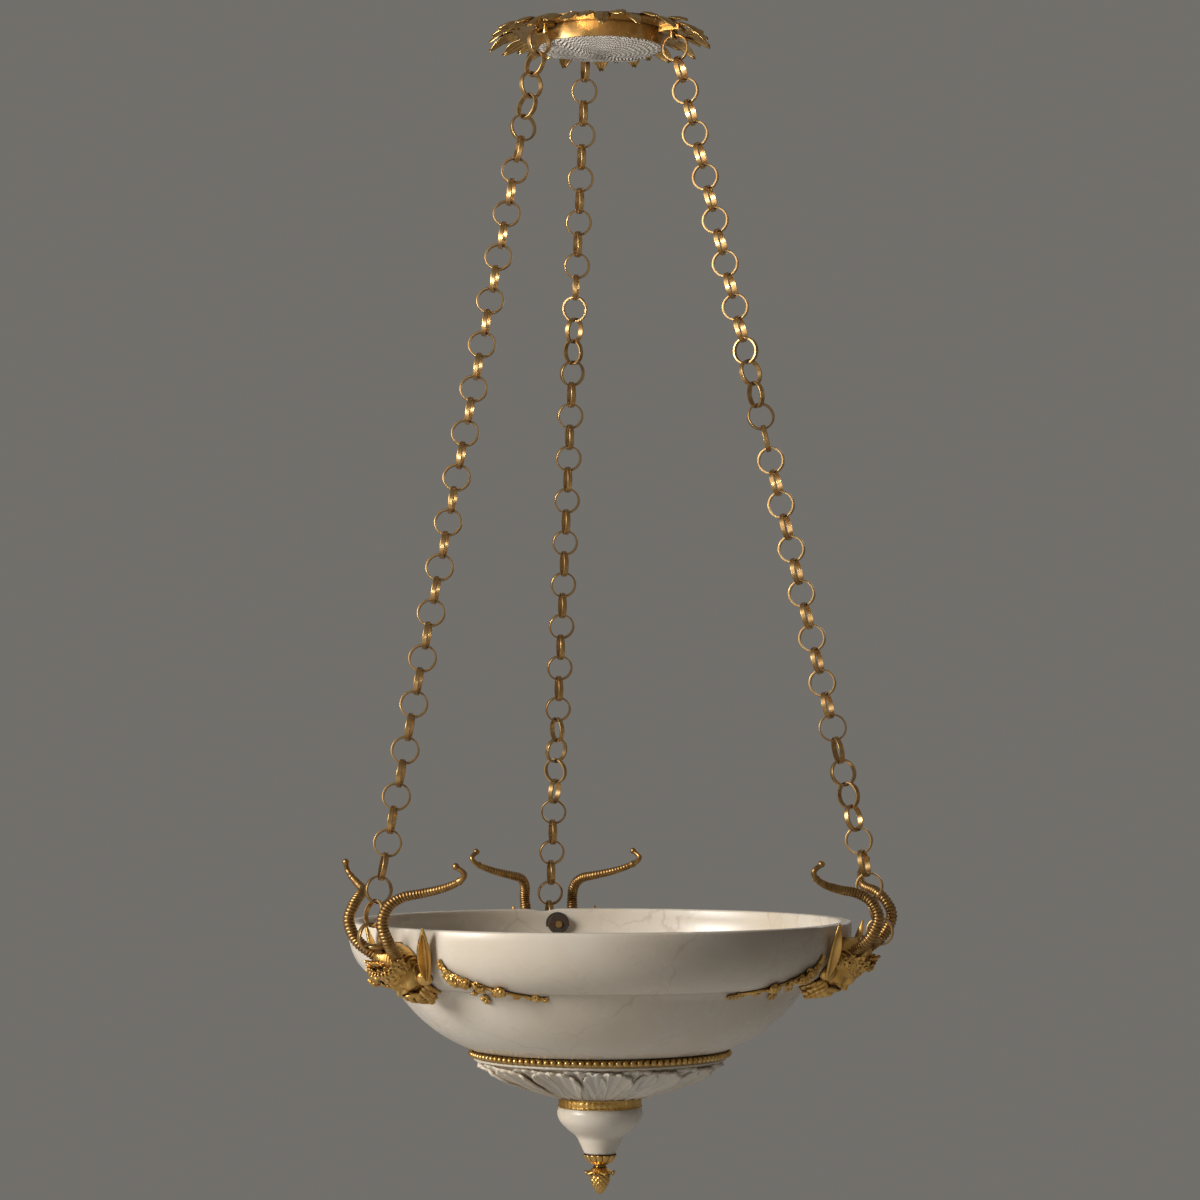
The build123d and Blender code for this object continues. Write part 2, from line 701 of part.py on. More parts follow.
# Bead ring: a strip with one facet for each bead, resting on the lip of the base
bead_level = base_top + BEAD_STRIP_HEIGHT / 2
with BuildPart() as bead_ring:
    with BuildSketch(Plane.XY.offset(base_top)):
        RegularPolygon(strip_radius, BEADS, major_radius=False)
        Circle(strip_radius - BEAD_STRIP, mode=Mode.SUBTRACT)
    extrude(amount=BEAD_STRIP_HEIGHT)
    with Locations((0, 0, bead_level)):
        with PolarLocations(strip_radius + BEAD_RADIUS / 2, BEADS, start_angle=180 / BEADS):
            Sphere(BEAD_RADIUS)
write(bead_ring.part, "bead_ring")

# Carved base under the bowl
with BuildPart() as base:
    with BuildSketch(Plane.XZ):
        lip = Vector(base_radius, base_top - BASE_EDGE_HEIGHT)
        foot = Vector(NECK_RADIUS, base_bottom)
        outward = Vector(lip.Y - foot.Y, foot.X - lip.X).normalized()
        with BuildLine():
            Polyline(foot, (ROD_RADIUS + BOLT_GAP, base_bottom), (ROD_RADIUS + BOLT_GAP, base_top))
            Polyline((ROD_RADIUS + BOLT_GAP, base_top), (base_radius, base_top), lip)
            Spline(lip, (lip + foot) * 0.5 + outward * BASE_BULGE, foot)
        make_face()
    revolve(axis=Axis.Z)
write(base.part, "carved_base")

# Neck band round the spigot of the drop
spigot_radius = NECK_RADIUS - NECK_WALL - BOLT_GAP
with BuildPart() as neck_band:
    with BuildSketch(Plane.XY.offset(neck_bottom)):
        Circle(NECK_RADIUS)
        Circle(NECK_RADIUS - NECK_WALL, mode=Mode.SUBTRACT)
    extrude(amount=NECK_HEIGHT)
write(neck_band.part, "neck_band")

# Turned drop: spigot, round belly, waist and end
with BuildPart() as drop:
    with BuildSketch(Plane.XZ):
        with BuildLine():
            Spline(
                (DROP_SHOULDER, neck_bottom),
                (DROP_BELLY, neck_bottom - DROP_BELLY_SHARE * DROP_HEIGHT),
                (DROP_TURN, neck_bottom - DROP_TURN_SHARE * DROP_HEIGHT),
                (DROP_WAIST, neck_bottom - DROP_WAIST_SHARE * DROP_HEIGHT),
                (DROP_END, drop_bottom),
            )
            Polyline(
                (DROP_END, drop_bottom),
                (ROD_RADIUS + BOLT_GAP, drop_bottom),
                (ROD_RADIUS + BOLT_GAP, base_bottom),
                (spigot_radius, base_bottom),
                (spigot_radius, neck_bottom),
                (DROP_SHOULDER, neck_bottom),
            )
        make_face()
    revolve(axis=Axis.Z)
write(drop.part, "alabaster_drop")

# Calyx: a cup with a ring of leaves round it, made with its top at zero and then hung in its place
calyx_rim = DROP_END - CALYX_RIM_INSET
leaf_foot = Vector((ROD_RADIUS + CALYX_FOOT_RADIUS) / 2, 0, CALYX_LEAF_ROOT - CALYX_HEIGHT)
leaf_tip = Vector(DROP_END + CALYX_LEAF_RADIUS / 2, 0, -SEAT_GAP)
leaf_length = (leaf_tip - leaf_foot).length
calyx_leaf = spindle(
    (leaf_tip + leaf_foot) * 0.5, (leaf_tip - leaf_foot).normalized(), leaf_length / 2, CALYX_LEAF_RADIUS
)
with BuildPart() as leafy_cup:
    with BuildSketch(Plane.XZ):
        with BuildLine():
            Spline(
                (calyx_rim, 0),
                (CALYX_CUP_RADIUS, -CALYX_CUP_SHARE * CALYX_HEIGHT),
                (CALYX_FOOT_RADIUS, -CALYX_HEIGHT),
            )
            Polyline(
                (CALYX_FOOT_RADIUS, -CALYX_HEIGHT),
                (ROD_RADIUS, -CALYX_HEIGHT),
                (ROD_RADIUS, 0),
                (calyx_rim, 0),
            )
        make_face()
    revolve(axis=Axis.Z)
    with PolarLocations(0, CALYX_LEAVES):
        add(calyx_leaf)
with BuildPart() as calyx:
    with Locations((0, 0, drop_bottom)):
        add(leafy_cup.part)
write(calyx.part, "calyx")

# Pine cone: neck, leaf collar and rows of scales, tapped for the tie rod
scale_rows = [(CONE_RADIUS, collar_bottom)]
for row in range(1, CONE_SCALE_ROWS + 1):
    share = row / (CONE_SCALE_ROWS + 1)
    row_radius = CONE_RADIUS * sqrt(1 - share**2)
    row_level = collar_bottom - share * CONE_HEIGHT
    scale_rows.append((row_radius + CONE_SCALE_STEP, row_level))
    scale_rows.append((row_radius - CONE_SCALE_STEP, row_level))
with BuildPart() as pine_cone:
    with BuildSketch(Plane.XZ):
        with BuildLine():
            Polyline(
                (0, cone_bottom),
                (0, calyx_bottom),
                (CONE_NECK_RADIUS, calyx_bottom),
                (CONE_NECK_RADIUS, calyx_bottom - CONE_NECK_HEIGHT),
                (CONE_COLLAR_RADIUS, collar_bottom + CONE_COLLAR_LIP),
                (CONE_COLLAR_RADIUS, collar_bottom),
                *scale_rows,
                (0, cone_bottom),
            )
        make_face()
    revolve(axis=Axis.Z)
    with BuildSketch(Plane.XY.offset(calyx_bottom)):
        Circle(ROD_RADIUS)
    extrude(amount=rod_bottom - calyx_bottom, mode=Mode.SUBTRACT)
write(pine_cone.part, "pine_cone")

# Tie rod with its nut and washer on the floor of the bowl
with BuildPart() as tie_rod:
    with BuildSketch(Plane.XY.offset(rod_bottom)):
        Circle(ROD_RADIUS)
    extrude(amount=rod_top - rod_bottom)
write(tie_rod.part, "tie_rod")
write(
    hex_nut(floor_level + ROD_WASHER_THICKNESS + ROD_NUT_HEIGHT, ROD_NUT_WIDTH, ROD_NUT_HEIGHT, ROD_RADIUS),
    "tie_rod_nut",
)
write(
    washer(floor_level + ROD_WASHER_THICKNESS, ROD_WASHER_RADIUS, ROD_WASHER_THICKNESS, ROD_RADIUS + BOLT_GAP),
    "tie_rod_washer",
)

# Eye bolt on the +X side: shank through the wall, collar on the mask, loop for the last ring
loop_middle = eye_reach - EYE_LOOP_RADIUS
collar_face = loop_middle - EYE_LOOP_RADIUS - EYE_WIRE_RADIUS - BOLT_COLLAR_THICKNESS
mask_nut_face = nut_face - MASK_WASHER_THICKNESS
bolt_end = mask_nut_face - MASK_NUT_HEIGHT - THREAD_END
with BuildPart() as eye_bolt:
    with BuildSketch(radial_plane(0, bolt_end, bolt_level)):
        Circle(BOLT_RADIUS)
    extrude(amount=loop_middle - EYE_LOOP_RADIUS - bolt_end)
    with BuildSketch(radial_plane(0, collar_face, bolt_level)):
        Circle(BOLT_COLLAR_RADIUS)
    extrude(amount=BOLT_COLLAR_THICKNESS)
    with Locations((loop_middle, 0, bolt_level)):
        Torus(EYE_LOOP_RADIUS, EYE_WIRE_RADIUS)

# Round nut and washer inside the wall
with BuildPart() as mask_nut:
    with BuildSketch(radial_plane(0, mask_nut_face, bolt_level)):
        Circle(MASK_NUT_RADIUS)
        Circle(BOLT_RADIUS, mode=Mode.SUBTRACT)
    extrude(amount=-MASK_NUT_HEIGHT)
with BuildPart() as mask_washer:
    with BuildSketch(radial_plane(0, nut_face, bolt_level)):
        Circle(MASK_WASHER_RADIUS)
        Circle(BOLT_RADIUS + BOLT_GAP, mode=Mode.SUBTRACT)
    extrude(amount=-MASK_WASHER_THICKNESS)


# Horn on the +Y side of a mask: ribbed, sweeping up and sideways to a knob
horn_line = Spline(*[(RIM_RADIUS + out, side, rim_level + up) for out, side, up in HORN_ROUTE])
horn_sections = 2 * HORN_RIBS
horn_root = horn_line @ 0
horn_start = horn_line % 0
with BuildPart() as right_horn:
    for section in range(horn_sections + 1):
        share = section / horn_sections
        tangent = horn_line % share
        across = HORN_STEADY - tangent * HORN_STEADY.dot(tangent)
        thickness = HORN_BASE_RADIUS + (HORN_TIP_RADIUS - HORN_BASE_RADIUS) * share
        with BuildSketch(Plane(origin=horn_line @ share, x_dir=across, z_dir=tangent)):
            Circle(thickness - HORN_RIB_HEIGHT * ((section + 1) % 2))
    loft(ruled=True)
    with Locations(horn_line @ 1):
        Sphere(HORN_KNOB_RADIUS)
with BuildPart() as left_horn:
    add(right_horn.part)
    mirror(about=Plane.XZ, mode=Mode.REPLACE)


# Head frame: up leans out over the bowl, forward looks out and down
head_middle = Vector(RIM_RADIUS + HEAD_STAND, 0, rim_level - HEAD_DEPTH)
head_up = Vector(sin(radians(HEAD_LEAN)), 0, cos(radians(HEAD_LEAN)))
head_forward = Vector(cos(radians(HEAD_LEAN)), 0, -sin(radians(HEAD_LEAN)))
head_side = Vector(0, 1, 0)


def on_head(forward, side, up):
    """A point of the head, from its middle."""
    return head_middle + head_forward * forward + head_side * side + head_up * up


ear_foot = on_head(*EAR_FOOT)
ear_tip = Vector(RIM_RADIUS + EAR_RADIUS, EAR_TIP_SIDE, rim_level + EAR_RISE)
ear_axis = ear_tip - ear_foot
ear = spindle((ear_foot + ear_tip) * 0.5, ear_axis.normalized(), ear_axis.length / 2, EAR_RADIUS)
nose_axis = (head_up - head_forward * NOSE_SLOPE).normalized()
nose = spindle(on_head(NOSE_FORWARD, 0, NOSE_UP), nose_axis, NOSE_HALF_LENGTH, NOSE_RADIUS)
with BuildPart() as head:
    for up, forward, half_width, half_depth in HEAD_SECTIONS:
        with BuildSketch(Plane(origin=on_head(forward, 0, up), x_dir=head_side, z_dir=head_up)):
            Ellipse(half_width, half_depth)
    loft()
    add(nose)
    add(ear)
    add(mirror(ear, about=Plane.XZ, mode=Mode.PRIVATE))
    with Locations(on_head(*EAR_ROOT), on_head(EAR_ROOT[0], -EAR_ROOT[1], EAR_ROOT[2])):
        Sphere(EAR_ROOT_RADIUS)
    with BuildLine():
        brow = ThreePointArc(
            on_head(BROW_END[0], -BROW_END[1], BROW_END[2]), on_head(*BROW_FRONT), on_head(*BROW_END)
        )
    with BuildSketch(Plane(origin=brow @ 0, z_dir=brow % 0)):
        Circle(BROW_RADIUS)
    sweep(path=brow)
    add(wall_cutter.part, mode=Mode.SUBTRACT)
    for sign in (1, -1):
        root = Vector(horn_root.X, sign * horn_root.Y, horn_root.Z)
        start = Vector(horn_start.X, sign * horn_start.Y, horn_start.Z)
        with BuildSketch(Plane(origin=root, z_dir=start)):
            Circle(HORN_BASE_RADIUS + HORN_SOCKET_GAP)
        extrude(amount=SOCKET_LENGTH, mode=Mode.SUBTRACT)
    with BuildSketch(radial_plane(0, 0, bolt_level)):
        Circle(BOLT_RADIUS + BOLT_GAP)
    extrude(amount=2 * RIM_RADIUS, mode=Mode.SUBTRACT)
    with BuildSketch(radial_plane(0, collar_face, bolt_level)):
        Circle(EYE_LOOP_RADIUS + 2 * EYE_WIRE_RADIUS)
    extrude(amount=RIM_RADIUS, mode=Mode.SUBTRACT)


# Garland on the +Y side of a mask: a swag along the wall with a hanging cluster and two studs
garland_shares = [section / GARLAND_SECTIONS for section in range(GARLAND_SECTIONS + 1)]
garland_line = Spline(*[garland_point(share) for share in garland_shares])
cluster_top = garland_point(CLUSTER_SHARE)
with BuildPart() as right_garland:
    for share in garland_shares:
        tangent = garland_line % share
        across = Vector(0, 0, 1) - tangent * tangent.Z
        with BuildSketch(Plane(origin=garland_line @ share, x_dir=across, z_dir=tangent)):
            Circle(GARLAND_RADIUS - GARLAND_THINNING * share)
    loft()
    add(spindle(cluster_top - Vector(0, 0, CLUSTER_DROP), Vector(0, 0, 1), CLUSTER_HALF_LENGTH, CLUSTER_RADIUS))
    add(wall_cutter.part, mode=Mode.SUBTRACT)
    for angle, depth in stud_places:
        inner_end = wall_radius(depth) - GARLAND_STUD_LENGTH + BOLT_GAP
        with BuildSketch(radial_plane(angle, inner_end, rim_level - depth)):
            Circle(GARLAND_STUD_RADIUS)
        extrude(amount=GARLAND_STUD_LENGTH + GARLAND_STUD_RADIUS)
with BuildPart() as left_garland:
    add(right_garland.part)
    mirror(about=Plane.XZ, mode=Mode.REPLACE)

mask_pieces = {
    "head": head.part,
    "left_horn": left_horn.part,
    "right_horn": right_horn.part,
    "left_garland": left_garland.part,
    "right_garland": right_garland.part,
    "eye_bolt": eye_bolt.part,
    "nut": mask_nut.part,
    "washer": mask_washer.part,
}
for side, azimuth in AZIMUTHS.items():
    for name, piece in mask_pieces.items():
        write_around(piece, f"mask_{side}_{name}", azimuth)

print("rim level", round(rim_level, 2), "cone tip", round(cone_bottom, 2), "pitch", round(ring_pitch, 3))
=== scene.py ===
"""A hanging alabaster bowl light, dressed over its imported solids.

Everything is in metres in the frame of the solids. Sizes below are in millimetres where a name or a
comment says so, and MM turns them into metres.
"""

import logging
import math
import random
from dataclasses import dataclass, field
from enum import Enum
from typing import Any, Callable, Sequence

import bmesh
import bpy
from mathutils import Matrix, Vector, noise


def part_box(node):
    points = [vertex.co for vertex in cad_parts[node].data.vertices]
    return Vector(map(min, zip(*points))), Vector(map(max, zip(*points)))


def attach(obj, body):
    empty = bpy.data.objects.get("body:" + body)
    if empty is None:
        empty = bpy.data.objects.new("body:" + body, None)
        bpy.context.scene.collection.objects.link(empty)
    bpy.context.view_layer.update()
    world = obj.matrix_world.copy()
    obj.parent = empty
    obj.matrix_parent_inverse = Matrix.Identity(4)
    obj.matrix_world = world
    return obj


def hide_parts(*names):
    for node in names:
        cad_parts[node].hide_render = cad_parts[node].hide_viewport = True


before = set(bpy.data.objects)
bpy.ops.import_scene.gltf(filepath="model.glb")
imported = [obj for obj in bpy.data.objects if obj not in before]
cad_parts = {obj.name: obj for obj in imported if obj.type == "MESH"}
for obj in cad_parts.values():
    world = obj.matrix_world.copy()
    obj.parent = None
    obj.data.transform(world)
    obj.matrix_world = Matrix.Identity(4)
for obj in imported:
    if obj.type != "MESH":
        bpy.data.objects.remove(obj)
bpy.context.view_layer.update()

log = logging.getLogger("alabaster_bowl_light")
MM = 0.001
TURN = 2 * math.pi


class Side(Enum):
    """The three places round the bowl that carry a chain and a mask."""

    LEFT = 210.0
    RIGHT = 330.0
    BACK = 90.0

    @property
    def label(self) -> str:
        """The side's word in the names of its pieces."""
        return self.name.lower()

    @property
    def turn(self) -> Matrix:
        """Turns a piece made on the +X side to this side."""
        return Matrix.Rotation(math.radians(self.value), 4, "Z")


class Hand(Enum):
    """Which side of a mask a piece is on, seen from outside the bowl."""

    LEFT = -1
    RIGHT = 1

    @property
    def label(self) -> str:
        """The hand's word in the names of pieces."""
        return self.name.lower()


# Shader graphs


class Graph:
    """A shader tree that is being wired."""

    def __init__(self, tree: bpy.types.NodeTree) -> None:
        """Start with an empty tree."""
        self.tree = tree
        tree.nodes.clear()

    def feed(self, target: bpy.types.Node, inputs: dict[Any, Any]) -> None:
        """Give inputs of a node, by name or number, their values or sockets."""
        for name, value in inputs.items():
            if isinstance(value, bpy.types.NodeSocket):
                self.tree.links.new(value, target.inputs[name])
            else:
                target.inputs[name].default_value = value

    def node(self, kind: str, inputs: dict[Any, Any] | None = None, **settings: Any) -> bpy.types.Node:
        """Add a node.

        Args:
            kind: The node's type.
            inputs: Values or sockets for its inputs, by name or number.
            settings: Properties of the node itself.

        Returns:
            The new node.
        """
        made = self.tree.nodes.new(kind)
        for name, value in settings.items():
            setattr(made, name, value)
        self.feed(made, inputs or {})
        return made

    def object_place(self) -> bpy.types.NodeSocket:
        """The surface point in the object's own coordinates."""
        return self.node("ShaderNodeTexCoord").outputs["Object"]

    def mix(self, share: Any, low: Any, high: Any) -> bpy.types.NodeSocket:
        """A colour between two colours or colour sockets."""
        made = self.node("ShaderNodeMix", {0: share, 6: low, 7: high}, data_type="RGBA")
        return made.outputs[2]

    def math(self, operation: str, *values: Any) -> bpy.types.NodeSocket:
        """The result of one operation on numbers or number sockets."""
        return self.node("ShaderNodeMath", dict(enumerate(values)), operation=operation).outputs[0]

    def spread(self, value: Any, start: Any, end: Any, low: float, high: float) -> bpy.types.NodeSocket:
        """A value moved from one range to another, clamped."""
        made = self.node(
            "ShaderNodeMapRange",
            {"Value": value, "From Min": start, "From Max": end, "To Min": low, "To Max": high},
        )
        return made.outputs["Result"]

    def group(self, tree: bpy.types.NodeTree, inputs: dict[str, Any]) -> bpy.types.NodeSocket:
        """The output of a shared group that is placed with its own values."""
        return self.node("ShaderNodeGroup", inputs, node_tree=tree).outputs[0]

    def drifted(self, place: bpy.types.NodeSocket, scale: float, detail: float, reach: Any) -> Any:
        """A place that is pushed about by soft noise.

        Args:
            place: The place.
            scale: Scale of the noise.
            detail: Detail of the noise.
            reach: How far the noise pushes, in metres.

        Returns:
            The socket of the moved place.
        """
        drift = self.node("ShaderNodeTexNoise", {"Vector": place, "Scale": scale, "Detail": detail})
        push = {0: drift.outputs["Color"], "Scale": reach}
        pull = self.node("ShaderNodeVectorMath", push, operation="SCALE")
        return self.node("ShaderNodeVectorMath", {0: place, 1: pull.outputs[0]}, operation="ADD").outputs[0]


class SharedEffects:
    """Node groups that several finishes use, each built once."""

    def __init__(self) -> None:
        """Build the groups."""
        self.mottle = self._mottle()
        self.veins = self._veins()
        self.pits = self._pits()

    @staticmethod
    def _start(
        name: str, inputs: dict[str, float], output: str
    ) -> tuple[Graph, bpy.types.Node, bpy.types.Node]:
        """Begin a group with a place, number inputs and one number output.

        Args:
            name: Name of the group.
            inputs: Default of each number input.
            output: Name of the output.

        Returns:
            The graph with its input and output nodes.
        """
        tree = bpy.data.node_groups.new(name, "ShaderNodeTree")
        tree.interface.new_socket("Place", in_out="INPUT", socket_type="NodeSocketVector")
        for label, value in inputs.items():
            socket = tree.interface.new_socket(label, in_out="INPUT", socket_type="NodeSocketFloat")
            socket.default_value = value
        tree.interface.new_socket(output, in_out="OUTPUT", socket_type="NodeSocketFloat")
        graph = Graph(tree)
        return graph, graph.node("NodeGroupInput"), graph.node("NodeGroupOutput")

    def _mottle(self) -> bpy.types.NodeTree:
        """Soft cloudy patches, from 0 to 1."""
        graph, given, out = self._start("cloudy_patches", {"Scale": 20.0, "Contrast": 0.3}, "Mask")
        clouds = graph.node(
            "ShaderNodeTexNoise",
            {
                "Vector": given.outputs["Place"],
                "Scale": given.outputs["Scale"],
                "Detail": 6.0,
                "Distortion": 0.6,
            },
        )
        low = graph.math("SUBTRACT", 0.5, given.outputs["Contrast"])
        high = graph.math("ADD", 0.5, given.outputs["Contrast"])
        spread = graph.node(
            "ShaderNodeMapRange",
            {"Value": clouds.outputs["Fac"], "From Min": low, "From Max": high},
            interpolation_type="SMOOTHSTEP",
        )
        graph.feed(out, {"Mask": spread.outputs["Result"]})
        return graph.tree

    def _veins(self) -> bpy.types.NodeTree:
        """Thin wandering lines, 1 on a line."""
        defaults = {"Scale": 6.0, "Width": 0.03, "Wander": 0.12}
        graph, given, out = self._start("wandering_veins", defaults, "Mask")
        moved = graph.drifted(given.outputs["Place"], 9.0, 5.0, given.outputs["Wander"])
        cells = graph.node(
            "ShaderNodeTexVoronoi",
            {"Vector": moved, "Scale": given.outputs["Scale"]},
            feature="DISTANCE_TO_EDGE",
        )
        line = graph.spread(cells.outputs["Distance"], 0.0, given.outputs["Width"], 1.0, 0.0)
        graph.feed(out, {"Mask": line})
        return graph.tree

    def _pits(self) -> bpy.types.NodeTree:
        """Fine uneven height, for bump."""
        graph, given, out = self._start("fine_pits", {"Scale": 400.0, "Roughness": 0.6}, "Height")
        grain = graph.node(
            "ShaderNodeTexNoise",
            {
                "Vector": given.outputs["Place"],
                "Scale": given.outputs["Scale"],
                "Detail": 4.0,
                "Roughness": given.outputs["Roughness"],
            },
        )
        graph.feed(out, {"Height": grain.outputs["Fac"]})
        return graph.tree


effects = SharedEffects()
Colour = tuple[float, float, float, float]
Point = tuple[float, float]


def start_material(name: str) -> tuple[bpy.types.Material, Graph, bpy.types.Node]:
    """Begin a material.

    Args:
        name: Name of the material.

    Returns:
        The material, its graph and its Principled shader.
    """
    made = bpy.data.materials.new(name)
    made.use_nodes = True
    graph = Graph(made.node_tree)
    shader = graph.node("ShaderNodeBsdfPrincipled")
    graph.node("ShaderNodeOutputMaterial", {"Surface": shader.outputs[0]})
    return made, graph, shader


def set_bump(
    graph: Graph, shader: bpy.types.Node, height: bpy.types.NodeSocket, strength: float, distance: float
) -> None:
    """Feed a height to a shader's normal.

    Args:
        graph: The material's graph.
        shader: The Principled shader.
        height: The height socket.
        strength: Strength of the bump.
        distance: Depth of the bump in metres.
    """
    bump = graph.node("ShaderNodeBump", {"Height": height, "Strength": strength, "Distance": distance})
    graph.feed(shader, {"Normal": bump.outputs[0]})


@dataclass(frozen=True)
class StoneFinish:
    """Polished translucent stone with clouds, veins and a few stains."""

    name: str
    light: Colour
    warm: Colour
    vein: Colour
    vein_share: float = 0.35
    roughness: float = 0.24
    stain_roughness: float = 0.14

    def material(self) -> bpy.types.Material:
        """Build the stone's material."""
        made, graph, shader = start_material(self.name)
        place = graph.object_place()
        clouds = graph.group(effects.mottle, {"Place": place, "Scale": 9.0, "Contrast": 0.28})
        stains = graph.group(effects.mottle, {"Place": place, "Scale": 26.0, "Contrast": 0.16})
        veins = graph.group(effects.veins, {"Place": place, "Scale": 5.0, "Width": 0.012, "Wander": 0.16})
        pits = graph.group(effects.pits, {"Place": place, "Scale": 260.0})
        patches = graph.mix(clouds, self.light, self.warm)
        share = graph.math("MULTIPLY", graph.math("MULTIPLY", veins, stains), self.vein_share)
        roughest = self.roughness + self.stain_roughness
        graph.feed(
            shader,
            {
                "Base Color": graph.mix(share, patches, self.vein),
                "Roughness": graph.spread(stains, 0.0, 1.0, self.roughness, roughest),
                "Subsurface Weight": 0.3,
                "Subsurface Radius": (1.0, 0.72, 0.48),
                "Subsurface Scale": 0.008,
            },
        )
        set_bump(graph, shader, pits, 0.12, 0.0006)
        return made


@dataclass(frozen=True)
class GiltFinish:
    """Gilt metal, bright where it is rubbed, with painted shade darkening its hollows."""

    name: str
    bright: Colour
    worn: Colour
    # The hollow colour is painted shade, laid into the hollows that ambient occlusion finds within the
    # reach below.
    hollow: Colour
    roughness: float = 0.26
    worn_roughness: float = 0.2
    patch_scale: float = 60.0
    painted_shade_reach: float = 0.004
    grain_depth: float = 0.0002

    def material(self) -> bpy.types.Material:
        """Build the metal's material."""
        made, graph, shader = start_material(self.name)
        place = graph.object_place()
        patches = graph.group(effects.mottle, {"Place": place, "Scale": self.patch_scale, "Contrast": 0.22})
        grain = graph.group(effects.pits, {"Place": place, "Scale": 520.0, "Roughness": 0.65})
        # Painted shade: ambient occlusion pulls the colour towards the hollow colour in crevices and
        # hollows.
        shade_occlusion = graph.node("ShaderNodeAmbientOcclusion", {"Distance": self.painted_shade_reach}, samples=6)
        depth = graph.spread(shade_occlusion.outputs["AO"], 0.35, 0.95, 1.0, 0.0)
        skin = graph.mix(patches, self.bright, self.worn)
        roughest = self.roughness + self.worn_roughness
        graph.feed(
            shader,
            {
                "Base Color": graph.mix(depth, skin, self.hollow),
                "Roughness": graph.spread(patches, 0.0, 1.0, self.roughness, roughest),
                "Metallic": 1.0,
            },
        )
        set_bump(graph, shader, grain, 0.35, self.grain_depth)
        return made


@dataclass(frozen=True)
class IronFinish:
    """Blackened iron with rust in patches."""

    name: str
    dark: Colour = (0.1, 0.1, 0.105, 1.0)
    rust: Colour = (0.12, 0.075, 0.045, 1.0)
    smoothest: float = 0.42
    roughest: float = 0.75

    def material(self) -> bpy.types.Material:
        """Build the iron's material."""
        made, graph, shader = start_material(self.name)
        place = graph.object_place()
        patches = graph.group(effects.mottle, {"Place": place, "Scale": 110.0, "Contrast": 0.2})
        grain = graph.group(effects.pits, {"Place": place, "Scale": 700.0, "Roughness": 0.7})
        graph.feed(
            shader,
            {
                "Base Color": graph.mix(patches, self.dark, self.rust),
                "Roughness": graph.spread(patches, 0.0, 1.0, self.smoothest, self.roughest),
                "Metallic": 0.8,
            },
        )
        set_bump(graph, shader, grain, 0.6, 0.0005)
        return made


@dataclass(frozen=True)
class KnitFinish:
    """Cream yarn knitted in rounds from a middle, with painted shade in the gaps between its loops, in
    metres.
    """

    name: str
    yarn: Colour = (0.92, 0.87, 0.78, 1.0)
    shade: Colour = (0.22, 0.165, 0.105, 1.0)
    columns: float = 76.0
    course: float = 0.0048
    slant: float = 1.2
    wander: float = 0.0016

    def material(self) -> bpy.types.Material:
        """Build the cloth's material."""
        made, graph, shader = start_material(self.name)
        place = graph.drifted(graph.object_place(), 140.0, 2.0, self.wander)
        axes = graph.node("ShaderNodeSeparateXYZ", {0: place})
        across = axes.outputs[0]
        along = axes.outputs[1]
        across_square = graph.math("MULTIPLY", across, across)
        along_square = graph.math("MULTIPLY", along, along)
        radius = graph.math("SQRT", graph.math("ADD", across_square, along_square))
        rows = graph.math("DIVIDE", radius, self.course)
        turns = graph.math("DIVIDE", graph.math("ARCTAN2", along, across), TURN)
        column = graph.math("PINGPONG", graph.math("MULTIPLY", turns, self.columns), 0.5)
        slanted = graph.math("ADD", rows, graph.math("MULTIPLY", column, self.slant))
        strand = graph.math("PINGPONG", slanted, 0.5)
        seam = graph.spread(column, 0.0, 0.12, 0.4, 1.0)
        height = graph.math("MULTIPLY", graph.spread(strand, 0.05, 0.4, 0.0, 1.0), seam)
        # Painted shade: where the loops sink, the colour goes to the shade colour.
        colour = graph.mix(height, self.shade, self.yarn)
        graph.feed(shader, {"Base Color": colour, "Roughness": 0.95, "Sheen Weight": 0.25})
        set_bump(graph, shader, height, 1.0, 0.003)
        return made


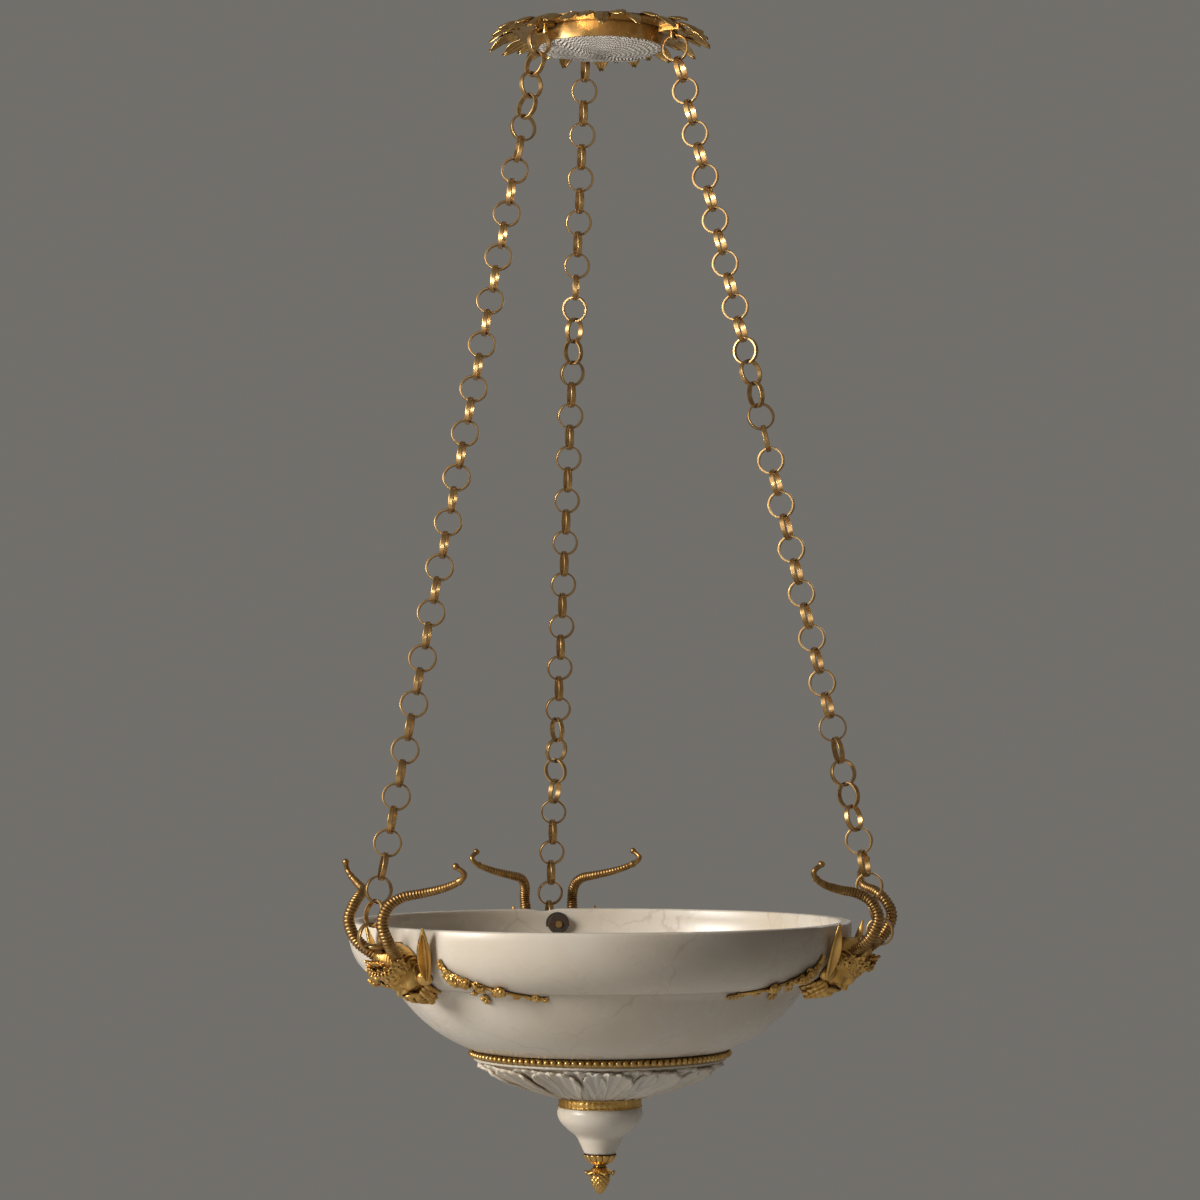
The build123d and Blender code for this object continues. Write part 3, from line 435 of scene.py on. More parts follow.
class Finishes:
    """The object's materials, each built once."""

    def __init__(self) -> None:
        """Build every finish."""
        self.alabaster = StoneFinish(
            "alabaster",
            light=(0.79, 0.73, 0.63, 1.0),
            warm=(0.72, 0.63, 0.5, 1.0),
            vein=(0.4, 0.27, 0.15, 1.0),
        ).material()
        self.carved = StoneFinish(
            "carved_alabaster",
            light=(0.76, 0.68, 0.57, 1.0),
            warm=(0.62, 0.53, 0.42, 1.0),
            vein=(0.38, 0.27, 0.17, 1.0),
            vein_share=0.3,
            roughness=0.34,
        ).material()
        # Each gilt finish's hollow colour below is painted shade for its hollows.
        self.gilt = GiltFinish(
            "gilt_bronze",
            bright=(0.82, 0.52, 0.17, 1.0),
            worn=(0.6, 0.34, 0.09, 1.0),
            hollow=(0.075, 0.036, 0.01, 1.0),
        ).material()
        self.leaf = GiltFinish(
            "gilt_leaf",
            bright=(0.78, 0.52, 0.2, 1.0),
            worn=(0.42, 0.25, 0.09, 1.0),
            hollow=(0.09, 0.05, 0.018, 1.0),
            roughness=0.24,
            patch_scale=90.0,
        ).material()
        self.bead = GiltFinish(
            "bead_gilt",
            bright=(0.72, 0.47, 0.17, 1.0),
            worn=(0.5, 0.3, 0.09, 1.0),
            hollow=(0.06, 0.03, 0.01, 1.0),
            roughness=0.24,
            patch_scale=90.0,
            painted_shade_reach=0.002,
        ).material()
        self.chain = GiltFinish(
            "chain_brass",
            bright=(0.6, 0.39, 0.16, 1.0),
            worn=(0.34, 0.2, 0.08, 1.0),
            hollow=(0.07, 0.04, 0.018, 1.0),
            roughness=0.3,
            patch_scale=70.0,
        ).material()
        self.horn = GiltFinish(
            "horn_bronze",
            bright=(0.5, 0.3, 0.11, 1.0),
            worn=(0.27, 0.15, 0.05, 1.0),
            hollow=(0.03, 0.016, 0.006, 1.0),
            roughness=0.3,
            patch_scale=120.0,
            painted_shade_reach=0.002,
        ).material()
        self.iron = IronFinish("black_iron").material()
        self.knit = KnitFinish("cream_knit").material()


finishes = Finishes()


# Mesh helpers


def add_object(name: str, bm: bmesh.types.BMesh, material: bpy.types.Material) -> bpy.types.Object:
    """Make a smoothly shaded object of a finished mesh.

    Args:
        name: Name of the piece.
        bm: The mesh, which is freed.
        material: Its finish.

    Returns:
        The object, linked to the scene.
    """
    mesh = bpy.data.meshes.new(name)
    bm.to_mesh(mesh)
    bm.free()
    mesh.materials.append(material)
    mesh.polygons.foreach_set("use_smooth", [True] * len(mesh.polygons))
    made = bpy.data.objects.new(name, mesh)
    bpy.context.scene.collection.objects.link(made)
    return made


def mount(piece: bpy.types.Object, body: str, slot: str, *nodes: str) -> bpy.types.Object:
    """Tie a piece to its body and hide the solids that it stands for.

    Args:
        piece: The piece.
        body: The body it moves with.
        slot: Not used.
        nodes: The solids that it replaces.

    Returns:
        The piece.
    """
    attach(piece, body)
    if nodes:
        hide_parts(*nodes)
    log.info("%s: %d faces", piece.name, len(piece.data.polygons))
    return piece


def dress(material: bpy.types.Material, *names: str) -> None:
    """Give solids that stay as they are a finish.

    Args:
        material: The finish.
        names: The solids' names.
    """
    for name in names:
        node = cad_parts[name]
        if not node.material_slots:
            node.data.materials.append(material)
        for slot in node.material_slots:
            slot.material = material
        log.info("%s: dressed", name)


def tidy(bm: bmesh.types.BMesh) -> None:
    """Merge doubles and point the faces outwards."""
    bmesh.ops.remove_doubles(bm, verts=bm.verts[:], dist=1e-6)
    bmesh.ops.recalc_face_normals(bm, faces=bm.faces[:])


def turned(outline: Sequence[Point], steps: int) -> bmesh.types.BMesh:
    """Spin a closed outline once round the Z axis.

    Args:
        outline: Radius and level of each point, in millimetres.
        steps: How many steps make the full turn.

    Returns:
        The turned mesh, in metres.
    """
    bm = bmesh.new()
    verts = [bm.verts.new((radius * MM, 0, level * MM)) for radius, level in outline]
    edges = [bm.edges.new(pair) for pair in zip(verts, [*verts[1:], verts[0]])]
    bmesh.ops.spin(
        bm,
        geom=verts + edges,
        cent=(0, 0, 0),
        axis=(0, 0, 1),
        dvec=(0, 0, 0),
        angle=TURN,
        steps=steps,
        use_merge=True,
    )
    tidy(bm)
    return bm


def around(radius: float, angle: float, level: float) -> Vector:
    """A point at a radius, a turn from +X in radians and a level."""
    return Vector((radius * math.cos(angle), radius * math.sin(angle), level))


def stamp(bm: bmesh.types.BMesh, pattern: bpy.types.Mesh, matrix: Matrix) -> None:
    """Add a placed copy of a pattern mesh.

    Args:
        bm: The mesh that grows.
        pattern: The mesh that is copied.
        matrix: Where the copy goes.
    """
    copy = pattern.copy()
    copy.transform(matrix)
    bm.from_mesh(copy)
    bpy.data.meshes.remove(copy)


def as_pattern(name: str, bm: bmesh.types.BMesh) -> bpy.types.Mesh:
    """Keep a mesh as a pattern for stamping, and free it."""
    mesh = bpy.data.meshes.new(name)
    bm.to_mesh(mesh)
    bm.free()
    return mesh


def merge(bm: bmesh.types.BMesh, part: bmesh.types.BMesh) -> None:
    """Add a small finished mesh to a growing one, and free it."""
    pattern = as_pattern("part", part)
    bm.from_mesh(pattern)
    bpy.data.meshes.remove(pattern)


def extrude_ring(
    bm: bmesh.types.BMesh, edges: Sequence[bmesh.types.BMEdge]
) -> tuple[list[bmesh.types.BMVert], list[bmesh.types.BMEdge]]:
    """Extrude a ring of edges in place.

    Args:
        bm: The mesh that grows.
        edges: The ring.

    Returns:
        The new ring's vertices and edges.
    """
    grown = bmesh.ops.extrude_edge_only(bm, edges=edges)["geom"]
    verts = [item for item in grown if isinstance(item, bmesh.types.BMVert)]
    new = set(verts)
    lines = [item for item in grown if isinstance(item, bmesh.types.BMEdge)]
    return verts, [line for line in lines if new.issuperset(line.verts)]


def add_ball(bm: bmesh.types.BMesh, place: Vector, size: Sequence[float], detail: int = 2) -> None:
    """Add a round or stretched ball.

    Args:
        bm: The mesh that grows.
        place: Middle of the ball.
        size: Half sizes along X, Y and Z.
        detail: Subdivisions of the ball.
    """
    matrix = Matrix.Translation(place) @ Matrix.Diagonal((*size, 1.0))
    bmesh.ops.create_icosphere(bm, subdivisions=detail, radius=1.0, matrix=matrix)


def ring_frame(place: Vector, along: Vector, steady: Vector, radius: float) -> Matrix:
    """A frame across a tube.

    Args:
        place: Middle of the section.
        along: Direction of the tube.
        steady: A direction that keeps the sections from twisting.
        radius: Radius of the section.

    Returns:
        A matrix that puts a unit circle there.
    """
    z_axis = along.normalized()
    x_axis = (steady - z_axis * steady.dot(z_axis)).normalized()
    y_axis = z_axis.cross(x_axis)
    turn = Matrix((x_axis, y_axis, z_axis)).transposed().to_4x4()
    return Matrix.Translation(place) @ turn @ Matrix.Diagonal((radius, radius, radius, 1.0))


def add_tube(
    bm: bmesh.types.BMesh, places: Sequence[Vector], radii: Sequence[float], sides: int, steady: Vector
) -> None:
    """Add a tube of changing thickness, closed at both ends.

    Args:
        bm: The mesh that grows.
        places: Points along its middle.
        radii: Radius at each point.
        sides: Sides of its section.
        steady: A direction that keeps it from twisting.
    """
    last = len(places) - 1
    frames = []
    for index, place in enumerate(places):
        along = places[min(index + 1, last)] - places[max(index - 1, 0)]
        frames.append(ring_frame(place, along, steady, radii[index]))
    tube = bmesh.new()
    bmesh.ops.create_circle(tube, cap_ends=True, segments=sides, radius=1.0, matrix=frames[0])
    edges = tube.edges[:]
    for before, after in zip(frames, frames[1:]):
        verts, edges = extrude_ring(tube, edges)
        bmesh.ops.transform(tube, matrix=after @ before.inverted(), verts=verts)
    bmesh.ops.contextual_create(tube, geom=edges)
    bmesh.ops.recalc_face_normals(tube, faces=tube.faces[:])
    merge(bm, tube)


def smooth_route(points: Sequence[Vector], count: int) -> list[Vector]:
    """Points evenly spread along a smooth line through a few points.

    Args:
        points: The points that it passes.
        count: How many points to give.

    Returns:
        The points of the line.
    """
    found = []
    spans = len(points) - 1
    for index in range(count):
        where = index / (count - 1) * spans
        span = min(int(where), spans - 1)
        t = where - span
        p1 = points[span]
        p2 = points[span + 1]
        p0 = points[span - 1] if span > 0 else p1 * 2 - p2
        p3 = points[span + 2] if span + 2 <= spans else p2 * 2 - p1
        square = 2 * p0 - 5 * p1 + 4 * p2 - p3
        cube = 3 * p1 - p0 - 3 * p2 + p3
        found.append(0.5 * (2 * p1 + (p2 - p0) * t + square * t**2 + cube * t**3))
    return found


def leaf_pattern(
    name: str,
    length: float,
    half_width: Callable[[float], float],
    lift: Callable[[float, float], float],
    thickness: float,
    rows: int = 10,
    columns: int = 8,
) -> bpy.types.Mesh:
    """A thin leaf that grows along +X from the origin, with +Z its upper side.

    Args:
        name: Name of the pattern.
        length: Length of the leaf, in any unit.
        half_width: Half its width at a share of its length, in the same unit.
        lift: Height at a share of the length and of the half width.
        thickness: Thickness of the sheet.
        rows: Faces along the leaf.
        columns: Faces across the leaf.

    Returns:
        The pattern.
    """
    bm = bmesh.new()
    bmesh.ops.create_grid(bm, x_segments=rows, y_segments=columns, size=0.5)
    for vert in bm.verts:
        share = vert.co.x + 0.5
        across = vert.co.y * 2
        vert.co = Vector((length * share, half_width(share) * across, lift(share, across)))
    tidy(bm)
    bmesh.ops.solidify(bm, geom=bm.faces[:], thickness=thickness)
    bmesh.ops.recalc_face_normals(bm, faces=bm.faces[:])
    return as_pattern(name, bm)


def facing(place: Vector, along: Vector, up: Vector) -> Matrix:
    """A frame whose X runs along a direction and whose Z leans to another."""
    x_axis = along.normalized()
    z_axis = (up - x_axis * up.dot(x_axis)).normalized()
    y_axis = z_axis.cross(x_axis)
    return Matrix.Translation(place) @ Matrix((x_axis, y_axis, z_axis)).transposed().to_4x4()


def low_of(node: str) -> Vector:
    """Lowest corner of a solid, in millimetres."""
    return Vector(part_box(node)[0]) / MM


def high_of(node: str) -> Vector:
    """Highest corner of a solid, in millimetres."""
    return Vector(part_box(node)[1]) / MM


# Bowl


@dataclass
class Bowl:
    """The turned bowl, in millimetres below its rim."""

    rim_radius: float = 250.0
    rim_land: float = 10.0
    rim_edge: float = 2.0
    wall: float = 12.0
    crease_radius: float = 206.0
    crease_depth: float = 60.0
    body_radius: float = 128.0
    body_depth: float = 127.0
    body_bulge: float = 8.5
    floor_depth: float = 116.0
    floor_radius: float = 26.0
    floor_bulge: float = 27.0
    bore: float = 4.3
    seat_radius: float = 124.2
    seat_depth: float = 135.3
    crease_bevel: tuple[Point, ...] = ((3.2, 0.0), (0.4, -1.1), (-0.7, -3.2))
    steps: int = 240
    wave_height: float = 0.35
    edge_band: float = 4.0
    nick_start: float = 0.35
    nick_depth: float = 2.2
    chip_turn: float = 93.5
    chip_reach: float = 2.4
    chip_depth: float = 2.6
    rim: float = field(default_factory=lambda: high_of("alabaster_bowl").z)

    def wall_radius(self, depth: float) -> float:
        """Radius of the outside at a depth, as far down as the garlands hang."""
        if depth < self.rim_land:
            return self.rim_radius
        if depth > self.crease_depth:
            return self.crease_radius - (depth - self.crease_depth) * (
                self.rim_radius - self.crease_radius
            ) / self.crease_depth
        fall = (depth - self.rim_land) / (self.crease_depth - self.rim_land)
        return self.crease_radius + (self.rim_radius - self.crease_radius) * math.sqrt(1 - fall**2)

    @staticmethod
    def quarter(middle: Point, wide: float, deep: float, count: int) -> list[Point]:
        """A quarter of an ellipse from its side down to its foot.

        Args:
            middle: Middle of the ellipse.
            wide: Half width.
            deep: Half height.
            count: Spans of the quarter.

        Returns:
            Its points.
        """
        angles = [math.pi / 2 * index / count for index in range(count + 1)]
        return [(middle[0] + wide * math.cos(a), middle[1] - deep * math.sin(a)) for a in angles]

    @staticmethod
    def bulged(start: Point, end: Point, bulge: float, count: int) -> list[Point]:
        """A shallow curve between two points, bulging outwards and down.

        Args:
            start: First point.
            end: Last point.
            bulge: Height of the curve over its chord.
            count: Spans of the curve.

        Returns:
            Its points after the first.
        """
        chord = Vector(end) - Vector(start)
        outward = Vector((-chord.y, chord.x)).normalized()
        found = []
        for index in range(1, count + 1):
            share = index / count
            point = Vector(start) + chord * share + outward * bulge * 4 * share * (1 - share)
            found.append((point.x, point.y))
        return found

    def outline(self) -> list[Point]:
        """The bowl's section, from the rim down the outside and up the inside."""
        rim = self.rim
        land = rim - self.rim_land
        mouth = self.rim_radius - self.wall
        crease = (self.crease_radius, rim - self.crease_depth)
        points = [(self.rim_radius - self.rim_edge, rim)]
        points += [(self.rim_radius - 0.3 * self.rim_edge, rim - 0.3 * self.rim_edge)]
        points += [(self.rim_radius, rim - self.rim_edge)]
        points += self.quarter((crease[0], land), self.rim_radius - crease[0], land - crease[1], 22)
        bevel = [(crease[0] + out, crease[1] + up) for out, up in self.crease_bevel]
        points[-1:] = bevel[:2]
        points += self.bulged(bevel[2], (self.body_radius, rim - self.body_depth), self.body_bulge, 16)
        points += [(self.seat_radius, rim - self.body_depth), (self.seat_radius, rim - self.seat_depth)]
        points += [(self.bore, rim - self.seat_depth), (self.bore, rim - self.floor_depth)]
        points += [(self.floor_radius, rim - self.floor_depth)]
        inner = (self.crease_radius - self.wall, rim - self.crease_depth + self.wall / 2)
        floor = self.bulged(inner, (self.floor_radius, rim - self.floor_depth), self.floor_bulge, 16)
        points += list(reversed(floor[:-1]))
        points += list(reversed(self.quarter((inner[0], land), mouth - inner[0], land - inner[1], 16)))
        points += [(mouth, rim - self.rim_edge), (mouth + 0.3 * self.rim_edge, rim - 0.3 * self.rim_edge)]
        points += [(mouth + self.rim_edge, rim)]
        return points

    def build(self) -> None:
        """Turn the bowl, give it the slight unevenness of hand work, and nick and chip its rim."""
        bm = turned(self.outline(), self.steps)
        for vert in bm.verts:
            flat = Vector((vert.co.x, vert.co.y, 0))
            near_rim = max(0.0, 1 - (self.rim * MM - vert.co.z) / (self.edge_band * MM))
            nick = max(0.0, noise.noise(vert.co * 90) - self.nick_start) * near_rim
            wave = noise.noise(vert.co * 7) * self.wave_height
            vert.co += flat.normalized() * wave * MM
            turn = math.degrees(math.atan2(vert.co.y, vert.co.x))
            chip = math.exp(-(((turn - self.chip_turn) / self.chip_reach) ** 2)) * near_rim
            vert.co.z -= (nick * self.nick_depth + chip * self.chip_depth) * MM
        piece = add_object("bowl", bm, finishes.alabaster)
        mount(piece, "bowl", "alabaster", "alabaster_bowl")


@dataclass
class BeadRing:
    """Gilt strip with a row of beads between the bowl and its carved base, in millimetres."""

    beads: int = 114
    bead_radius: float = 3.2
    strip_radius: float = 126.5
    strip_wall: float = 2.0
    strip_sink: float = 0.7

    def build(self) -> None:
        """Turn the strip and set the beads on it."""
        low = low_of("bead_ring").z
        high = high_of("bead_ring").z
        middle = (low + high) / 2
        inner = self.strip_radius - self.strip_wall
        face = self.strip_radius - self.strip_sink
        bm = turned([(inner, high), (face, high), (face, low), (inner, low)], 2 * self.beads)
        reach = self.strip_radius + self.bead_radius / 2
        for bead in range(self.beads):
            angle = TURN * (bead + 0.5) / self.beads
            add_ball(bm, around(reach, angle, middle) * MM, [self.bead_radius * MM] * 3)
        mount(add_object("beads", bm, finishes.bead), "bowl", "gilt_bronze", "bead_ring")


@dataclass
class CarvedBase:
    """The stone under the bowl, carved all round with overlapping fan leaves, in millimetres."""

    leaves: int = 13
    lip_radius: float = 125.5
    foot_radius: float = 41.5
    lip_height: float = 2.2
    bulge: float = 6.0
    bore: float = 4.3
    ground_sink: float = 3.0
    leaf_length: float = 86.0
    leaf_foot: float = 2.0
    leaf_spread: float = 21.0
    shingle: float = 1.5
    leaf_thickness: float = 2.2
    under_sink: float = 2.4
    leaf_root: float = 0.06
    side_reach: float = 0.74
    scallops: int = 5
    scallop_depth: float = 0.06
    midrib_height: float = 1.4
    midrib_width: float = 0.07
    flute_height: float = 0.85
    hollow_depth: float = 1.2
    curl_start: float = 0.72
    curl_height: float = 1.9
    roll_start: float = 0.6
    roll_height: float = 1.2
    rows: int = 22
    columns: int = 52
    top: float = field(default_factory=lambda: high_of("carved_base").z)
    bottom: float = field(default_factory=lambda: low_of("carved_base").z)

    def side_point(self, along: float, height: float) -> Point:
        """A point of the base's side.

        Args:
            along: Distance from the foot towards the lip.
            height: Distance out from the side.

        Returns:
            Its radius and level.
        """
        lip = Vector((self.lip_radius, self.top - self.lip_height))
        foot = Vector((self.foot_radius, self.bottom))
        chord = lip - foot
        outward = Vector((chord.y, -chord.x)).normalized()
        share = along / chord.length
        point = foot + chord * share + outward * (self.bulge * 4 * share * (1 - share) + height)
        return point.x, point.y

    def leaf_point(self, far: float, fan: float, layer: float) -> tuple[float, float, float]:
        """A point of a leaf that fans out from its foot.

        Args:
            far: Share of the way from the foot of the leaf to its edge.
            fan: Place across the fan, from -1 to 1.
            layer: Height of the whole leaf over its neighbours.

        Returns:
            Distance along the base, distance across it and height.
        """
        angle = math.radians(self.leaf_spread) * fan
        scallop = abs(math.sin(math.pi * self.scallops * (fan + 1) / 2)) ** 0.6
        rounded = max(0.0, math.cos(math.pi / 2 * fan**2)) ** 0.6
        edge = self.side_reach + (1 - self.side_reach) * rounded
        reach = self.leaf_length * edge * (1 - self.scallop_depth * (1 - scallop)) * far
        midrib = math.exp(-((fan / self.midrib_width) ** 2)) * (1 - 0.5 * far)
        ribs = math.pi * self.scallops * fan
        flute = (math.cos(ribs) + 0.4 * math.cos(3 * ribs)) * far
        hollow = math.sin(math.pi * far) * (1 - fan**2)
        curl = max(0.0, far - self.curl_start) / (1 - self.curl_start)
        rolled = max(0.0, abs(fan) - self.roll_start) / (1 - self.roll_start)
        height = self.midrib_height * midrib + self.flute_height * flute - self.hollow_depth * hollow
        height += self.curl_height * curl**2 + self.roll_height * rolled**2 * far
        height += layer + self.shingle * fan * far
        return self.leaf_foot + reach * math.cos(angle), reach * math.sin(angle), height

    def build(self) -> None:
        """Turn the ground of the base and lay the leaves over it, every second one on top."""
        top = self.top
        bottom = self.bottom
        spans = 24
        chord = math.hypot(self.lip_radius - self.foot_radius, top - self.lip_height - bottom)
        ground = []
        for step in range(1, spans):
            ground.append(self.side_point(chord * (1 - step / spans), -self.ground_sink))
        outline = [(self.bore, top), (self.lip_radius, top), (self.lip_radius, top - self.lip_height)]
        outline += [(self.lip_radius - self.ground_sink, top - self.lip_height - 0.6), *ground]
        outline += [(self.foot_radius, bottom), (self.bore, bottom)]
        bm = turned(outline, 10 * self.leaves)
        for leaf in range(2 * self.leaves):
            on_top = leaf % 2
            sheet = bmesh.new()
            bmesh.ops.create_grid(sheet, x_segments=self.rows, y_segments=self.columns, size=0.5)
            for vert in sheet.verts:
                far = self.leaf_root + (1 - self.leaf_root) * (vert.co.x + 0.5)
                layer = 0.0 if on_top else -self.under_sink * far
                along, across, height = self.leaf_point(far, 2 * vert.co.y, layer)
                radius, level = self.side_point(along, height)
                angle = TURN * leaf / (2 * self.leaves) + across / max(radius, self.foot_radius)
                vert.co = around(radius, angle, level) * MM
            bmesh.ops.recalc_face_normals(sheet, faces=sheet.faces[:])
            bmesh.ops.solidify(sheet, geom=sheet.faces[:], thickness=self.leaf_thickness * MM)
            bmesh.ops.recalc_face_normals(sheet, faces=sheet.faces[:])
            merge(bm, sheet)
        mount(add_object("leaf_base", bm, finishes.carved), "bowl", "alabaster", "carved_base")


@dataclass
class Drop:
    """The turned drop under the base, with the engraved band round its neck, in millimetres.

    The profile gives the drop's radius at shares of its height, from the top.
    """

    profile: tuple[Point, ...] = (
        (41.0, 0.0),
        (42.6, 0.13),
        (40.0, 0.3),
        (33.4, 0.46),
        (24.0, 0.63),
        (20.2, 0.78),
        (15.5, 1.0),
    )
    bore: float = 4.3
    spigot: float = 37.0
    band_radius: float = 41.5
    band_wall: float = 4.2
    band_beads: int = 96
    band_bead: float = 0.75
    band_edge: float = 1.2
    band_gap: float = 1.4
    band_sink: float = 0.5
    chevrons: int = 44
    chevron_height: float = 0.55
    chevron_sink: float = 0.25
    bud_height: float = 0.6

    def build_drop(self) -> None:
        """Turn the drop."""
        top = low_of("neck_band").z
        bottom = low_of("alabaster_drop").z
        high = high_of("alabaster_drop").z
        tall = top - bottom
        knots = [Vector((radius, top - share * tall, 0)) for radius, share in self.profile]
        side = [(point.x, point.y) for point in smooth_route(knots, 42)]
        outline = [*side, (self.bore, bottom), (self.bore, high), (self.spigot, high), (self.spigot, top)]
        piece = add_object("drop", turned(outline, 96), finishes.alabaster)
        mount(piece, "bowl", "alabaster", "alabaster_drop")

    def build_band(self) -> None:
        """Turn the neck band, engrave it with chevrons and buds, and edge it with small beads."""
        low = low_of("neck_band").z
        high = high_of("neck_band").z
        outer = self.band_radius
        inner = outer - self.band_wall
        ground = outer - self.band_sink
        rows = 12
        tall = high - low - 2 * self.band_gap
        face = [(ground, high - self.band_gap - tall * row / rows) for row in range(rows + 1)]
        outline = [(inner, high), (outer, high), (outer, high - self.band_edge), *face]
        outline += [(outer, low + self.band_edge), (outer, low), (inner, low)]
        bm = turned(outline, 6 * self.chevrons)
        for vert in bm.verts:
            flat = Vector((vert.co.x, vert.co.y, 0))
            if abs(flat.length / MM - ground) > 0.05:
                continue
            level = (vert.co.z / MM - low) / (high - low) - 0.5
            turn = math.atan2(vert.co.y, vert.co.x) / TURN * self.chevrons
            wave = abs((turn + 1.1 * abs(level)) % 1.0 - 0.5) * 2
            bud = max(0.0, 1 - ((turn % 1.0 - 0.5) / 0.28) ** 2 - (level / 0.26) ** 2)
            height = self.chevron_height * wave - self.chevron_sink + self.bud_height * bud
            vert.co += flat.normalized() * height * MM
        for bead in range(self.band_beads):
            angle = TURN * bead / self.band_beads
            for level in (high - 0.8, low + 0.8):
                add_ball(bm, around(outer, angle, level) * MM, [self.band_bead * MM] * 3, 1)
        mount(add_object("engraved_band", bm, finishes.gilt), "bowl", "gilt_bronze", "neck_band")

    def build(self) -> None:
        """Make the drop and its band."""
        self.build_drop()
        self.build_band()


@dataclass
class PineCone:
    """The gilt end of the drop: leaf cup, drooping collar and scaly cone, in millimetres.

    The cup's profile gives its radius at shares of its height, from the top.
    """

    cup_leaves: int = 14
    cup_profile: tuple[Point, ...] = ((13.4, 0.0), (14.0, 0.28), (12.5, 0.6), (10.2, 0.86), (8.2, 1.0))
    cup_lip: float = 16.4
    leaf_thickness: float = 0.7
    collar_leaves: int = 8
    collar_leaf: float = 11.5
    collar_drop: float = 10.5
    neck_radius: float = 6.2
    collar_radius: float = 12.6
    cone_radius: float = 9.2
    scales: int = 10
    scale_rows: float = 3.8
    scale_relief: float = 1.5
    rod: float = 4.0
    rod_depth: float = 12.0

    def build_cup(self) -> None:
        """Make the cup and curl its ring of leaves outwards."""
        top = high_of("calyx").z
        bottom = low_of("calyx").z
        tall = top - bottom
        side = [(radius, top - share * tall) for radius, share in self.cup_profile]
        bm = turned([(self.rod, top), *side, (self.rod, bottom)], 56)
        foot = Vector((self.cup_profile[-1][0] - 0.4, 0, bottom + 0.3)) * MM
        tip = Vector((self.cup_lip, 0, top - 0.9)) * MM
        leaf = leaf_pattern(
            "cup_leaf",
            (tip - foot).length,
            lambda share: (1.5 + 2.3 * share**0.8) * MM * min(1.0, (1.03 - share) / 0.16) ** 0.5,
            lambda share, across: (
                1.7 * math.sin(math.pi * share) - 0.9 * across**2 + 7.0 * max(0.0, share - 0.7) ** 2 + 0.3
            ) * MM,
            self.leaf_thickness * MM,
        )
        for index in range(self.cup_leaves):
            turn = Matrix.Rotation(TURN * index / self.cup_leaves, 4, "Z")
            stamp(bm, leaf, turn @ facing(foot, tip - foot, Vector((1, 0, -0.8))))
        mount(add_object("leaf_cup", bm, finishes.gilt), "bowl", "gilt_bronze", "calyx")

    def scale_height(self, turn: float, share: float) -> float:
        """Height of the cone's scales, which lie in two crossing spirals.

        Args:
            turn: Place round the cone, in scales.
            share: Share of the way down the cone.

        Returns:
            Height in millimetres over the cone's ground.
        """
        first = (turn + share * self.scale_rows) % 1.0
        second = (share * self.scale_rows - turn) % 1.0
        groove = max(abs(first - 0.5), abs(second - 0.5)) * 2
        shingle = 0.5 + 0.25 * (first + second)
        return self.scale_relief * (1 - groove**1.8) * shingle * (1 - 0.6 * share**3)

    def cone_side(self, share: float) -> float:
        """Radius of the cone's ground at a share of the way down."""
        return self.cone_radius * (1 - share**2) ** 0.75

    def build_cone(self) -> None:
        """Make the cone with its scales and the collar with its drooping leaves."""
        top = high_of("pine_cone").z
        tip = low_of("pine_cone").z
        collar = top - self.collar_drop
        tall = collar - tip
        neck = self.neck_radius
        outline = [(neck, top), (neck - 0.8, top - 1.2), (neck, top - 2.5)]
        outline += [(self.collar_radius - 3.4, collar + 3.4), (self.collar_radius - 3.0, collar + 1.2)]
        rows = 48
        for row in range(rows):
            share = row / rows
            outline.append((self.cone_side(share), collar - share * tall))
        core = top - self.rod_depth
        outline = [(self.rod, top), *outline, (0.0, tip), (0.0, core), (self.rod, core)]
        bm = turned(outline, 10 * self.scales)
        for vert in bm.verts:
            share = (collar - vert.co.z / MM) / tall
            flat = Vector((vert.co.x, vert.co.y, 0))
            if 0.0 < share < 1.0 and abs(flat.length / MM - self.cone_side(share)) < 0.05:
                turn = math.atan2(flat.y, flat.x) / TURN * self.scales
                vert.co += flat.normalized() * self.scale_height(turn, share) * MM
        leaf = leaf_pattern(
            "collar_leaf",
            self.collar_leaf * MM,
            lambda share: (3.0 + 2.6 * math.sin(math.pi * share)) * MM * min(1.0, (1.02 - share) / 0.45),
            lambda share, across: (-1.3 * across**2 + 0.3 * math.cos(across * 9) + 1.8 * share**3) * MM,
            self.leaf_thickness * MM,
        )
        foot = Vector((neck - 1.0, 0, top - 2.2)) * MM
        end = Vector((self.collar_radius, 0, collar + 0.8)) * MM
        for index in range(self.collar_leaves):
            turned_by = Matrix.Rotation(TURN * (index + 0.3) / self.collar_leaves, 4, "Z")
            stamp(bm, leaf, turned_by @ facing(foot, end - foot, Vector((1, 0, 1))))
        mount(add_object("cone", bm, finishes.gilt), "bowl", "gilt_bronze", "pine_cone")

    def build(self) -> None:
        """Make the cup and the cone."""
        self.build_cup()
        self.build_cone()


# Masks


@dataclass(frozen=True)
class Push:
    """A soft push on a modelled surface, in millimetres."""

    centre: tuple[float, float, float]
    reach: tuple[float, float, float]
    move: tuple[float, float, float]

    def mirrored(self) -> "Push":
        """The same push on the other side of the face."""
        flip = Vector((1, -1, 1))
        return Push(tuple(Vector(self.centre) * flip), self.reach, tuple(Vector(self.move) * flip))

    def apply(self, bm: bmesh.types.BMesh) -> None:
        """Move the mesh's vertices within reach, fading towards the edge."""
        centre = Vector(self.centre)
        move = Vector(self.move)
        for vert in bm.verts:
            off = vert.co - centre
            far = sum((part / reach) ** 2 for part, reach in zip(off, self.reach))
            if far < 1.0:
                vert.co += move * (1 - far) ** 2


